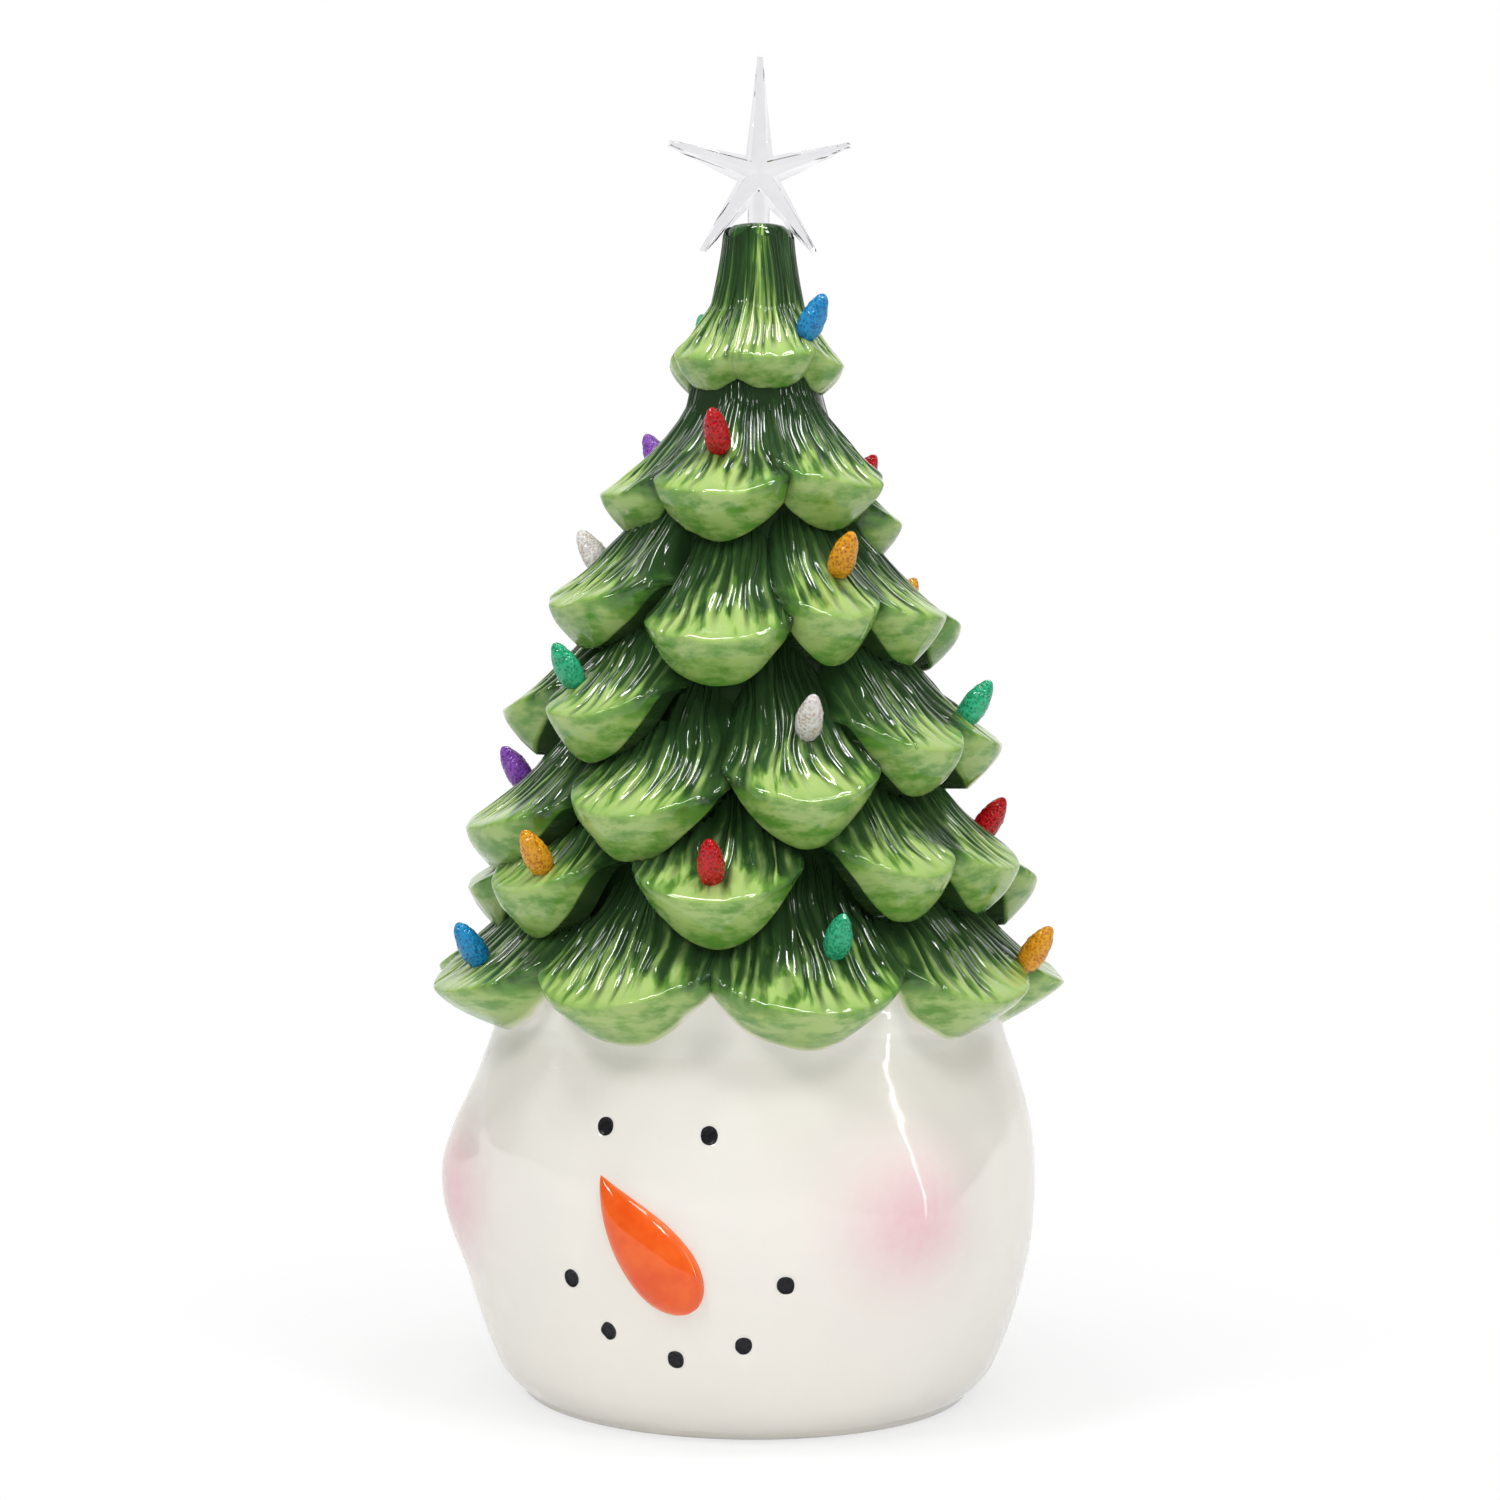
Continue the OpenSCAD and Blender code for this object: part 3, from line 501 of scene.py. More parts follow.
def branch_radius(branch, s, h, face):
    """Radius of a branch at a place across it and a height over its edge."""
    _, tip_z, _, tip_r = branch
    notch = min(NOTCH_MOST, NOTCH_SHARE * tip_r - NOTCH_LESS) * np.abs(s) ** NOTCH_POWER
    notch = notch + NOTCH_FALL * tip_r * np.maximum(0, np.abs(s) - 1) ** 2
    up = np.maximum(0, h)
    down = np.maximum(0, -h)
    slope = min(RISE_MOST, RISE_SLOPE + RISE_GAIN * tip_r)
    above = slope * (np.sqrt(up * up + EDGE_ROUND ** 2) - EDGE_ROUND) / (1 + RISE_EASE * up)
    above = above + RIM_RISE * (1 - np.exp(-(up / RIM_H) ** 2))
    tuck = FACE_TUCK * face
    if tip_z <= SKIRT_ROW_Z:
        tuck = np.maximum(0, tip_r - notch - COLLAR_R + SKIRT_BITE)
    below = tuck * (np.minimum(down, face) / face) ** FACE_POWER + LIP_SLOPE * np.maximum(0, down - face)
    radius = tip_r - notch - above - below
    cover = core_radius(tip_z + up) + CORE_COVER - CORE_NOTCH * notch
    radius = np.where(h > 0, np.maximum(radius, cover), radius)
    return np.where(h > BRANCH_TOP, 0, radius)


def branch_field(branch, bearing, z):
    """Radius of a branch over bearing and height."""
    middle, tip_z, half, _ = branch
    s = turn(bearing - middle) / half
    rise, face = branch_edge(branch, s)
    return branch_radius(branch, s, z - tip_z - rise, face)


def next_radius(bearing, z, skipped=None):
    """Radius of the outermost surface over bearing and height, with one branch left out."""
    top = collar_radius(z)
    for k, branch in enumerate(BRANCHES):
        if k != skipped:
            top = np.maximum(top, branch_field(branch, bearing, z))
    return top


def drift(bearing, z):
    """Wander of the edges: a turn in degrees and a rise in millimetres."""
    hold = WANDER * smooth(WANDER_HIGH_Z, WANDER_LOW_Z, z)
    return hold * uneven(WANDER_TURN, bearing, z), hold * uneven(WANDER_RISE, bearing, z)


def seat_radius(bearing, z):
    """Radius of the tree where a bulb sits."""
    a, up = drift(np.array([float(bearing)]), np.array([float(z)]))
    return float(next_radius(bearing - a, z - up)[0])


def cast_swell(bearing, z, radius):
    """Unevenness of the tree's surface, which fades out toward the narrow top."""
    return uneven(TREE_UNEVEN, bearing, z) * smooth(SWELL_FROM_R, SWELL_FULL_R, radius)


def crown_over(over, bearing, needle):
    """Height over the crown's edge as its glaze shows it, uneven from needle to needle."""
    pace = CROWN_PALE * (1 + CROWN_VARY * noise(43, needle * 0.9 + 3.7, 0 * needle))
    band = np.exp(-(turn(bearing - BAND_BEARING) / BAND_WIDTH) ** 2)
    return over * pace * (1 - BAND_PALE * band)


def crown_hold(over):
    """Share of the needles' depth that is left toward the smooth top of the crown."""
    return 1 - CROWN_SMOOTH * smooth(CROWN_SMOOTH_FROM, CROWN_SMOOTH_TO, over)


def groove_of(needle):
    """Depth of the engraving from 0 on a needle to 1 midway between two."""
    return 1 - 2 * np.abs(needle - np.round(needle))


def branch_grid(number):
    """Mesh places of a branch, top down: needle, place across, height over the edge, step inward."""
    branch = BRANCHES[number]
    _, tip_z, half, tip_r = branch
    pitch = min(NEEDLE_PITCH, NEEDLE_LEAST + NEEDLE_GAIN * tip_r)
    lines = max(FEWEST_NEEDLES, round(2 * math.radians(half) * tip_r / pitch))
    count = math.ceil(BRANCH_SPAN * lines / 2)
    line = np.array([n + p for n in range(-count, count) for p in NEEDLE_PLACES] + [count])
    high = 0.99 * min(BRANCH_TOP, TREE_TOP_Z - TOP_CLEAR - tip_z)
    over = high * np.linspace(1, 0, BRANCH_LEVELS) ** LEVEL_POWER
    line, over = np.meshgrid(line, over)
    fan = NEEDLE_FAN * np.clip(over / FAN_H, 0, 1) * (1 - (line / count) ** 2)
    wave = 0.45 * noise(31, line / 3.3 + 11.7 * number, over / 11)
    wave = wave + 0.2 * noise(32, line / 1.4 + 7.3 * number, over / 6)
    wave = wave + 0.3 * noise(33, line * 0.9 + 5.9 * number, 0 * line)
    s = (line * (1 - fan) + wave) * 2 / lines
    lowered = np.array(FACE_STEPS + (1.0,) * len(LIP_STEPS))
    shape = (len(lowered), s.shape[1])
    face = branch_edge(branch, s[-1])[1]
    line = np.concatenate([line, np.broadcast_to(line[-1], shape)])
    s = np.concatenate([s, np.broadcast_to(s[-1], shape)])
    over = np.concatenate([over, -lowered[:, None] * face])
    inward = np.concatenate([np.zeros(len(over) - len(LIP_STEPS)), LIP_STEPS])[:, None]
    return line, s, over, inward


def needle_strength(number, line, s, over):
    """Share of the needles' full depth: none at the edge, and different from needle to needle."""
    key = np.round(line) * 0.73 + 3.1 * number
    begin = 0.8 + 2.5 * noise(41, key, 0 * key) - 3 * np.minimum(s * s, 1)
    vary = np.clip(0.75 + 0.4 * noise(42, key * 1.9, over / 14), 0.25, 1)
    hold = crown_hold(over) if BRANCHES[number][1] >= CROWN_Z else 1
    return smooth(0, 5, over - begin) * vary * hold


def branch_skin(number):
    """Points, faces and colour values of one branch, without what lies under its neighbours."""
    branch = BRANCHES[number]
    middle, tip_z, half, tip_r = branch
    line, s, over, inward = branch_grid(number)
    rise, face = branch_edge(branch, s)
    bearing = middle + s * half
    z = tip_z + rise + over
    radius = branch_radius(branch, s, over, face) - inward
    gap = radius - next_radius(bearing, z, number)
    strength = needle_strength(number, line, s, over)
    groove = groove_of(line)
    depth = NEEDLE_DEPTH * np.clip(tip_r / NEEDLE_FULL_R, 0.6, 1)
    cut = depth * strength * (0.3 * groove + 0.7 * groove ** 3)
    shown = radius - cut + cast_swell(bearing, z, radius)
    turned, lifted = drift(bearing, z)
    points = around(bearing + turned, shown, z + lifted)
    lowest = tip_z <= SKIRT_ROW_Z
    bare = face + over + 0.5 * cast_noise(53, bearing, z, 5)
    values = {
        "over": over, "across": s, "needle": line, "strength": strength,
        # Crease: nearly black where a neighbour lies close, from pooled glaze and painted shade
        "crease": 1 - smooth(0.2, 4.0, gap),
        "white": np.where(lowest & (over < 0), 1 - smooth(0.0, 1.7, bare), 0),
        # Under: painted shade on the rows that turn inward under the lip
        "under": np.broadcast_to(0 if lowest else inward > 0.5, s.shape),
    }
    if tip_z >= CROWN_Z:
        values.update({"over": crown_over(over, bearing, line), "across": 0.5 * s, "crease": 0 * gap})
    rows, columns = s.shape
    corner = (np.arange(rows - 1)[:, None] * columns + np.arange(columns - 1)).ravel()
    faces = np.stack([corner, corner + columns, corner + columns + 1, corner + 1], 1)
    faces = faces[gap.ravel()[faces].max(1) > BURIED]
    used, faces = np.unique(faces, return_inverse=True)
    values = {key: np.ravel(data)[used] for key, data in values.items()}
    return points.reshape(-1, 3)[used], faces.reshape(-1, 4).tolist(), values


# Node helpers for the procedural finishes
def new_finish(name, **sockets):
    """A material with its main shader's plain values set, given as (material, node tree, shader)."""
    material = bpy.data.materials.new(name)
    material.use_nodes = True
    main = material.node_tree.nodes["Principled BSDF"]
    for key, value in sockets.items():
        main.inputs[key.replace("_", " ")].default_value = value
    return material, material.node_tree, main


def link(value, socket):
    """Links a socket to an input, or sets the input to a value."""
    if isinstance(value, bpy.types.NodeSocket):
        socket.id_data.links.new(value, socket)
    else:
        socket.default_value = value


def place(tree, scale=(1, 1, 1)):
    """The part's own coordinates in metres, stretched."""
    coords = tree.nodes.new("ShaderNodeTexCoord").outputs["Object"]
    mapping = tree.nodes.new("ShaderNodeMapping")
    link(coords, mapping.inputs["Vector"])
    mapping.inputs["Scale"].default_value = scale
    return mapping.outputs["Vector"]


def value_of(tree, name):
    """A value stored on the mesh."""
    stored = tree.nodes.new("ShaderNodeAttribute")
    stored.attribute_name = name
    return stored.outputs["Fac"]


def math_of(operation, a, b=0.0, clamp=False):
    """A maths node on one or two values, the first of them from a socket."""
    made = a.id_data.nodes.new("ShaderNodeMath")
    made.operation = operation
    made.use_clamp = clamp
    link(a, made.inputs[0])
    link(b, made.inputs[1])
    return made.outputs[0]


def times(a, b, clamp=False):
    """A product of two values."""
    return math_of("MULTIPLY", a, b, clamp)


def step_of(value, low, high, out_low=0.0, out_high=1.0):
    """Soft step of a value between two limits."""
    made = value.id_data.nodes.new("ShaderNodeMapRange")
    made.interpolation_type = "SMOOTHSTEP"
    for key, given in (("Value", value), ("From Min", low), ("From Max", high), ("To Min", out_low),
                       ("To Max", out_high)):
        link(given, made.inputs[key])
    return made.outputs["Result"]


def noise_of(tree, scale, detail, rough=0.5, where=None):
    """Noise from 0 to 1 over a place, or over the part's own coordinates."""
    made = tree.nodes.new("ShaderNodeTexNoise")
    link(place(tree) if where is None else where, made.inputs["Vector"])
    made.inputs["Scale"].default_value = scale
    made.inputs["Detail"].default_value = detail
    made.inputs["Roughness"].default_value = rough
    return made.outputs["Fac"]


def cells_of(tree, scale):
    """Distance from the nearest of many points scattered in the part's own coordinates."""
    made = tree.nodes.new("ShaderNodeTexVoronoi")
    link(place(tree), made.inputs["Vector"])
    made.inputs["Scale"].default_value = scale
    return made.outputs["Distance"]


def mix_of(share, a, b):
    """A mix of two colours."""
    made = share.id_data.nodes.new("ShaderNodeMix")
    made.data_type = "RGBA"
    link(share, made.inputs[0])
    for given, socket in ((a, made.inputs[6]), (b, made.inputs[7])):
        link(given if isinstance(given, bpy.types.NodeSocket) else (*given, 1), socket)
    return made.outputs[2]


def ramp_of(value, stops):
    """Colour that runs through several stops."""
    made = value.id_data.nodes.new("ShaderNodeValToRGB")
    link(value, made.inputs["Fac"])
    steps = made.color_ramp.elements
    while len(steps) < len(stops):
        steps.new(0.5)
    for step, (position, colour) in zip(steps, stops):
        step.position = position
        step.color = (*colour, 1)
    return made.outputs["Color"]


def bump_of(main, height, distance, strength, under=None):
    """Bump on a shader, over another bump where one is given."""
    made = main.id_data.nodes.new("ShaderNodeBump")
    made.inputs["Strength"].default_value = strength
    made.inputs["Distance"].default_value = distance
    link(height, made.inputs["Height"])
    if under is not None:
        link(under, made.inputs["Normal"])
    link(made.outputs["Normal"], main.inputs["Normal"])
    return made.outputs["Normal"]


def glaze_height(tree, over, across, needle):
    """Height over the edge as the glaze shows it: patchy, streaky, and higher toward the notches."""
    broad = noise_of(tree, 60, 3, where=place(tree, (1, 1, 1.5)))
    along = tree.nodes.new("ShaderNodeCombineXYZ")
    link(needle, along.inputs[0])
    link(times(over, 0.09), along.inputs[1])
    streak = noise_of(tree, 1.3, 3, where=along.outputs[0])
    streak = times(streak, step_of(over, -1.0, 4.0, 4.0, 34.0))
    shift = math_of("ADD", times(broad, 9.0), streak)
    shift = math_of("SUBTRACT", shift, step_of(over, -1.0, 4.0, 6.5, 25.0))
    sides = times(math_of("POWER", across, 2.0), 9.0)
    return math_of("ADD", math_of("ADD", over, sides), shift)


def pooled_glaze_and_shade(tree, over, across):
    """Share of nearly black colour: glaze pooled in the notches and creases, and painted shade in the
    creases and under the lips.
    """
    notch = times(step_of(across, 0.7, 1.0), step_of(over, -4.0, 5.0))
    upper = step_of(over, -6.0, 2.0, 0.25, 1.0)
    # Pooled glaze and painted shade where a neighbouring branch lies close
    pooled = times(value_of(tree, "crease"), upper)
    # Painted shade on the rows that turn inward under a lip
    pooled = math_of("MAXIMUM", pooled, value_of(tree, "under"))
    return math_of("MAXIMUM", times(notch, 0.75), pooled)


def paint(main, colour, roughness):
    """Sets what colour and roughness a shader has."""
    link(colour, main.inputs["Base Color"])
    link(roughness, main.inputs["Roughness"])


def tree_glaze():
    """Brushed green glaze: pale under the tips and along the edges, nearly black where glaze pools in the
    notches and creases, with painted shade in the creases and under the lips.
    """
    material, tree, main = new_finish("tree_glaze")
    over = value_of(tree, "over")
    needle = value_of(tree, "needle")
    strength = value_of(tree, "strength")
    across = math_of("ABSOLUTE", value_of(tree, "across"))
    shifted = glaze_height(tree, over, across, needle)
    height = step_of(shifted, -16.0, 24.0)
    height.node.interpolation_type = "LINEAR"
    colour = ramp_of(height, (
        (0.0, (0.175, 0.33, 0.06)), (0.15, (0.245, 0.39, 0.088)), (0.35, (0.345, 0.475, 0.16)),
        (0.44, (0.31, 0.455, 0.125)), (0.5, (0.105, 0.235, 0.036)), (0.57, (0.027, 0.078, 0.019)),
        (1.0, (0.015, 0.038, 0.012)),
    ))
    brushed = noise_of(tree, 120, 4, 0.62, place(tree, (1, 1, 2.2)))
    patches = step_of(brushed, 0.38, 0.66)
    low_face = step_of(over, 3.0, -2.0)
    colour = mix_of(times(patches, low_face), colour, (0.10, 0.265, 0.034))
    line = math_of("PINGPONG", math_of("ADD", needle, 0.5), 0.5)
    line = times(line, 2.0)
    groove = times(step_of(line, 0.4, 0.95), strength)
    rib = times(step_of(line, 0.45, 0.1), strength)
    # Paler ribs toward the edge: a painted highlight on the ribs, with the glaze thinning over them
    lit_rib = times(rib, step_of(shifted, 15.0, 3.0))
    colour = mix_of(times(lit_rib, 0.7), colour, (0.35, 0.47, 0.155))
    colour = mix_of(times(groove, 0.95, True), colour, (0.015, 0.040, 0.012))
    # Nearly black: pooled glaze, with painted shade in the creases and under the lips
    dark = times(pooled_glaze_and_shade(tree, over, across), 0.92, True)
    colour = mix_of(dark, colour, (0.017, 0.045, 0.014))
    white = value_of(tree, "white")
    edge = times(step_of(white, 0.0, 0.35), 0.85)
    colour = mix_of(edge, colour, (0.52, 0.60, 0.30))
    colour = mix_of(step_of(white, 0.25, 0.95), colour, (0.79, 0.768, 0.716))
    fine = noise_of(tree, 420, 2)
    paint(main, colour, step_of(fine, 0.3, 0.7, 0.02, 0.06))
    shaped = bump_of(main, times(groove, -1.0), 0.0005, 0.7)
    bump_of(main, fine, 0.00005, 0.4, shaped)
    return material


def head_glaze():
    """Warm white glaze with airbrushed cheeks."""
    material, tree, main = new_finish("head_glaze")
    cloud = noise_of(tree, 22, 3)
    grain = noise_of(tree, 380, 2)
    colour = mix_of(step_of(cloud, 0.3, 0.7), (0.797, 0.765, 0.70), (0.774, 0.747, 0.695))
    mist = times(value_of(tree, "blush"), step_of(grain, 0.2, 0.8, 0.8, 1.0))
    colour = mix_of(mist, colour, (0.74, 0.43, 0.49))
    paint(main, colour, step_of(grain, 0.3, 0.7, 0.05, 0.11))
    bump_of(main, grain, 0.00003, 0.4)
    return material


def nose_glaze():
    """Orange glaze, a little paler where it thins out at the rim."""
    material, tree, main = new_finish("nose_glaze")
    cloud = noise_of(tree, 160, 3)
    colour = mix_of(step_of(cloud, 0.3, 0.7), (0.72, 0.075, 0.006), (0.80, 0.12, 0.014))
    thin = step_of(value_of(tree, "rim"), 0.75, 1.0, 0.0, 0.5)
    shown = mix_of(thin, colour, (0.80, 0.20, 0.06))
    paint(main, shown, step_of(cloud, 0.2, 0.8, 0.03, 0.08))
    bump_of(main, cloud, 0.0004, 0.5)
    return material


def black_enamel():
    """Black paint, uneven in its gloss."""
    material, tree, main = new_finish("black_enamel", Specular_IOR_Level=0.18)
    cloud = noise_of(tree, 900, 3)
    shown = mix_of(cloud, (0.004, 0.004, 0.005), (0.02, 0.02, 0.024))
    paint(main, shown, step_of(cloud, 0.2, 0.8, 0.18, 0.4))
    bump_of(main, cloud, 0.0001, 0.6)
    return material


def bulb_plastic(name, deep, bright):
    """Translucent plastic with a pebbled skin: bright where light comes through, deep in between."""
    material, tree, main = new_finish(name, Transmission_Weight=0.35, IOR=1.45)
    pebbles = cells_of(tree, 1300)
    cloud = noise_of(tree, 330, 3)
    share = times(pebbles, 0.7)
    share = math_of("ADD", share, times(cloud, 0.5))
    shown = mix_of(step_of(share, 0.25, 0.75), deep, bright)
    paint(main, shown, step_of(cloud, 0.3, 0.7, 0.06, 0.2))
    bump_of(main, pebbles, 0.0003, 0.9)
    return material


def star_plastic_with_painted_shade():
    """Clear plastic with painted shade: its flat front and back facets are darkened a little, by which way
    they face.
    """
    material, tree, main = new_finish("star_clear", Transmission_Weight=1.0, IOR=1.46)
    facing = tree.nodes.new("ShaderNodeVectorMath")
    facing.operation = "DOT_PRODUCT"
    link(tree.nodes.new("ShaderNodeNewGeometry").outputs["True Normal"], facing.inputs[0])
    facing.inputs[1].default_value = look(STAR_BEARING, 0)
    # Painted shade: facets that face straight front or back are shown darker
    flat = step_of(math_of("ABSOLUTE", facing.outputs["Value"]), 0.75, 0.97)
    cloud = noise_of(tree, 150, 2)
    facet_shade = mix_of(step_of(cloud, 0.3, 0.7), (0.80, 0.795, 0.825), (0.86, 0.86, 0.87))
    shown = mix_of(flat, (0.985, 0.98, 0.995), facet_shade)
    paint(main, shown, step_of(cloud, 0.2, 0.8, 0.02, 0.05))
    bump_of(main, cloud, 0.0002, 0.3)
    return material


def clear_plastic(name, colour, roughness):
    """Clear or frosted plastic, slightly uneven."""
    material, tree, main = new_finish(name, Transmission_Weight=1.0, IOR=1.46)
    cloud = noise_of(tree, 60, 2)
    shown = mix_of(cloud, colour, tuple(0.97 * c for c in colour))
    paint(main, shown, step_of(cloud, 0.2, 0.8, roughness, roughness + 0.04))
    bump_of(main, cloud, 0.0002, 0.3)
    return material


def moulded(name, colour, roughness=0.42, grain_scale=1400, depth=0.00003):
    """Moulded plastic, rubber or insulation with a fine grain and slight unevenness of colour."""
    material, tree, main = new_finish(name)
    grain = noise_of(tree, grain_scale, 2)
    cloud = noise_of(tree, 40, 2)
    darker = tuple(0.86 * c for c in colour)
    shown = mix_of(step_of(cloud, 0.3, 0.7), colour, darker)
    paint(main, shown, step_of(grain, 0.2, 0.8, roughness - 0.08, roughness + 0.1))
    bump_of(main, grain, depth, 0.6)
    return material


def plated(name, colour, stretch=(1, 1, 1)):
    """Plated steel with fine drawing marks."""
    material, tree, main = new_finish(name, Metallic=1.0)
    marks = noise_of(tree, 900, 3, where=place(tree, stretch))
    shown = mix_of(marks, colour, tuple(0.8 * c for c in colour))
    paint(main, shown, step_of(marks, 0.2, 0.8, 0.2, 0.38))
    bump_of(main, marks, 0.00002, 0.5)
    return material


def cell_jacket(name):
    """Printed jacket of a cell: a dark band toward one end, copper-coloured over the rest."""
    material, tree, main = new_finish(name, Metallic=0.6, Coat_Weight=0.5, Coat_Roughness=0.1)
    along = tree.nodes.new("ShaderNodeSeparateXYZ")
    link(place(tree), along.inputs[0])
    cloud = noise_of(tree, 300, 2)
    band = step_of(along.outputs["X"], 0.006, 0.0064)
    warm = mix_of(cloud, (0.62, 0.34, 0.09), (0.56, 0.30, 0.08))
    shown = mix_of(band, (0.02, 0.02, 0.022), warm)
    paint(main, shown, step_of(cloud, 0.2, 0.8, 0.25, 0.35))
    bump_of(main, cloud, 0.00002, 0.4)
    return material


def board_laminate(name):
    """Green solder mask over copper tracks."""
    material, tree, main = new_finish(name, Coat_Weight=0.3, Coat_Roughness=0.15)
    tracks = tree.nodes.new("ShaderNodeTexWave")
    tracks.bands_direction = "Y"
    link(place(tree), tracks.inputs["Vector"])
    for key, given in (("Scale", 130.0), ("Distortion", 1.5), ("Detail", 0.0)):
        tracks.inputs[key].default_value = given
    track = step_of(tracks.outputs["Fac"], 0.72, 0.8)
    grain = noise_of(tree, 1500, 2)
    shown = mix_of(track, (0.012, 0.10, 0.035), (0.03, 0.20, 0.06))
    paint(main, shown, step_of(grain, 0.2, 0.8, 0.28, 0.4))
    bump_of(main, track, 0.00004, 0.6)
    return material


# Pieces of the visible model
def core_skin():
    """Points, faces and colour values of the hollow core, with the crown and the star's socket."""
    bearing = np.arange(CORE_SIDES) * 360 / CORE_SIDES
    round_z = TREE_TOP_Z - CROWN_ROUND
    rings = [pole(CAVITY_TOP_Z)]
    for z in np.linspace(CAVITY_TOP_Z, NECK_Z, CAVITY_LEVELS):
        rings.append(around(bearing, core_radius(z) - TREE_WALL, z))
    rings.append(around(bearing, CORE_NECK_R - TREE_WALL, TREE_LOW_Z))
    inside = sum(len(r) for r in rings)
    heights = [np.linspace(low, high, levels, endpoint=False) for low, high, levels in CORE_LEVELS]
    heights.append(round_z + CROWN_ROUND * np.sin(np.radians((0, 30, 60, 90))))
    a, z = np.meshgrid(bearing, np.concatenate(heights))
    needle = a / 360 * CROWN_NEEDLES + 0.5 * cast_noise(34, a, z, 12)
    strength = smooth(CORE_BARE_Z, CORE_CROWN_Z, z) * (1 - smooth(round_z - 3, round_z, z))
    strength = strength * crown_hold(z - CROWN_Z)
    radius = collar_radius(z) - CROWN_NEEDLE_DEPTH * strength * groove_of(needle) ** 2
    swell = cast_swell(a, z, radius) * smooth(NECK_Z, NECK_Z + 12, z)
    rings += list(around(a, radius + swell, z))
    rings.append(around(bearing, SOCKET_R + SOCKET_EDGE, TREE_TOP_Z))
    rings.append(around(bearing, SOCKET_R, TREE_TOP_Z - SOCKET_EDGE))
    rings.append(around(bearing, SOCKET_R, SOCKET_Z))
    rings.append(pole(SOCKET_Z))
    points, faces = stitch(rings)
    shown = {
        "over": np.where(z > CROWN_Z, crown_over(z - CROWN_Z, a, needle), FAN_H),
        "needle": needle, "strength": strength,
        "white": 1 - smooth(COLLAR_TOP_Z - 3, COLLAR_TOP_Z + 1, z),
    }
    values = {key: np.full(len(points), FAN_H if key == "over" else 0.0) for key in GLAZE_VALUES}
    for key, data in shown.items():
        values[key][inside:inside + data.size] = data.ravel()
    return points, faces, values


def make_tree(material):
    """The hollow tree: its core, and the branches over the core."""
    skins = [core_skin()] + [branch_skin(number) for number in range(len(BRANCHES))]
    faces = []
    start = 0
    for skin in skins:
        faces += [[start + i for i in face] for face in skin[1]]
        start += len(skin[0])
    points = np.concatenate([skin[0] for skin in skins])
    values = {key: np.concatenate([skin[2][key] for skin in skins]) for key in GLAZE_VALUES}
    add_piece("glazed_tree", points, faces, material, "body", ["tree_shell"], values)


def head_bearings():
    """Bearings round the head, close together over the face."""
    face = np.linspace(FACE_FROM, FACE_TO, FACE_COLUMNS, endpoint=False)
    rest = np.linspace(FACE_TO, FACE_FROM + 360, REST_COLUMNS, endpoint=False)
    return np.concatenate([face, rest])


def make_head(material):
    """The hollow head: foot ring, glazed outside, neck and the plain inside."""
    bearing = head_bearings()
    foot_middle = float(head_radius(np.array(FOOT_ROUND))) - FOOT_ROUND
    foot = [(OPENING_R, FLOOR_T), (OPENING_R, OPENING_EDGE), (OPENING_R + OPENING_EDGE, 0.0)]
    for a in np.radians((-90, -65, -40, -18)):
        foot.append((foot_middle + FOOT_ROUND * math.cos(a), FOOT_ROUND * (1 + math.sin(a))))
    heights = [np.linspace(low, high, levels, endpoint=False) for low, high, levels in HEAD_LEVELS]
    heights.append(np.linspace(FACE_HIGH_Z, NECK_Z, NECK_LEVELS))
    a, z = np.meshgrid(bearing, np.concatenate(heights))
    settle = smooth(0.5, 8, z) * (1 - smooth(NECK_Z - 9, NECK_Z - 3, z))
    rings = [around(bearing, r, level) for r, level in foot]
    rings += list(around(a, head_radius(z) + head_relief(a, z) * settle, z))
    for level in (NECK_Z, *np.linspace(NECK_Z - 4, FLOOR_T, INNER_LEVELS)):
        rings.append(around(bearing, head_radius(np.array(level)) - HEAD_WALL, level))
    points, faces = stitch(rings, closed=True)
    tints = [np.exp(-0.5 * (face_distance(a, z, spot) / BLUSH_SPREAD) ** 2) for spot in BLUSH]
    start = len(foot) * len(bearing)
    blush = np.zeros(len(points))
    blush[start:start + z.size] = BLUSH_MOST * np.maximum.reduce(tints).ravel()
    values = {"blush": blush}
    add_piece("glazed_head", points, faces, material, "body", ["head_shell"], values)


def on_head(x, z, out):
    """Points on the head's glaze at arc lengths x from the face's middle, standing out by a distance."""
    bearing = np.degrees(x / HEAD_R)
    return around(bearing, head_radius(z) + out, z)


def nose_line(share):
    """Middle of the nose at shares of its length, on the unrolled face, and the way across it."""
    line = np.array([(math.radians(a) * HEAD_R, z) for a, z in NOSE_LINE])
    run = np.concatenate([[0], np.cumsum(np.hypot(*np.diff(line, axis=0).T))])
    run /= run[-1]
    bend = np.polyfit(run, line, 3)
    middle = np.stack([np.polyval(bend[:, k], share) for k in (0, 1)], 1)
    along = np.gradient(middle, share, axis=0)
    along /= np.linalg.norm(along, axis=1, keepdims=True)
    return middle, np.stack([-along[:, 1], along[:, 0]], 1)


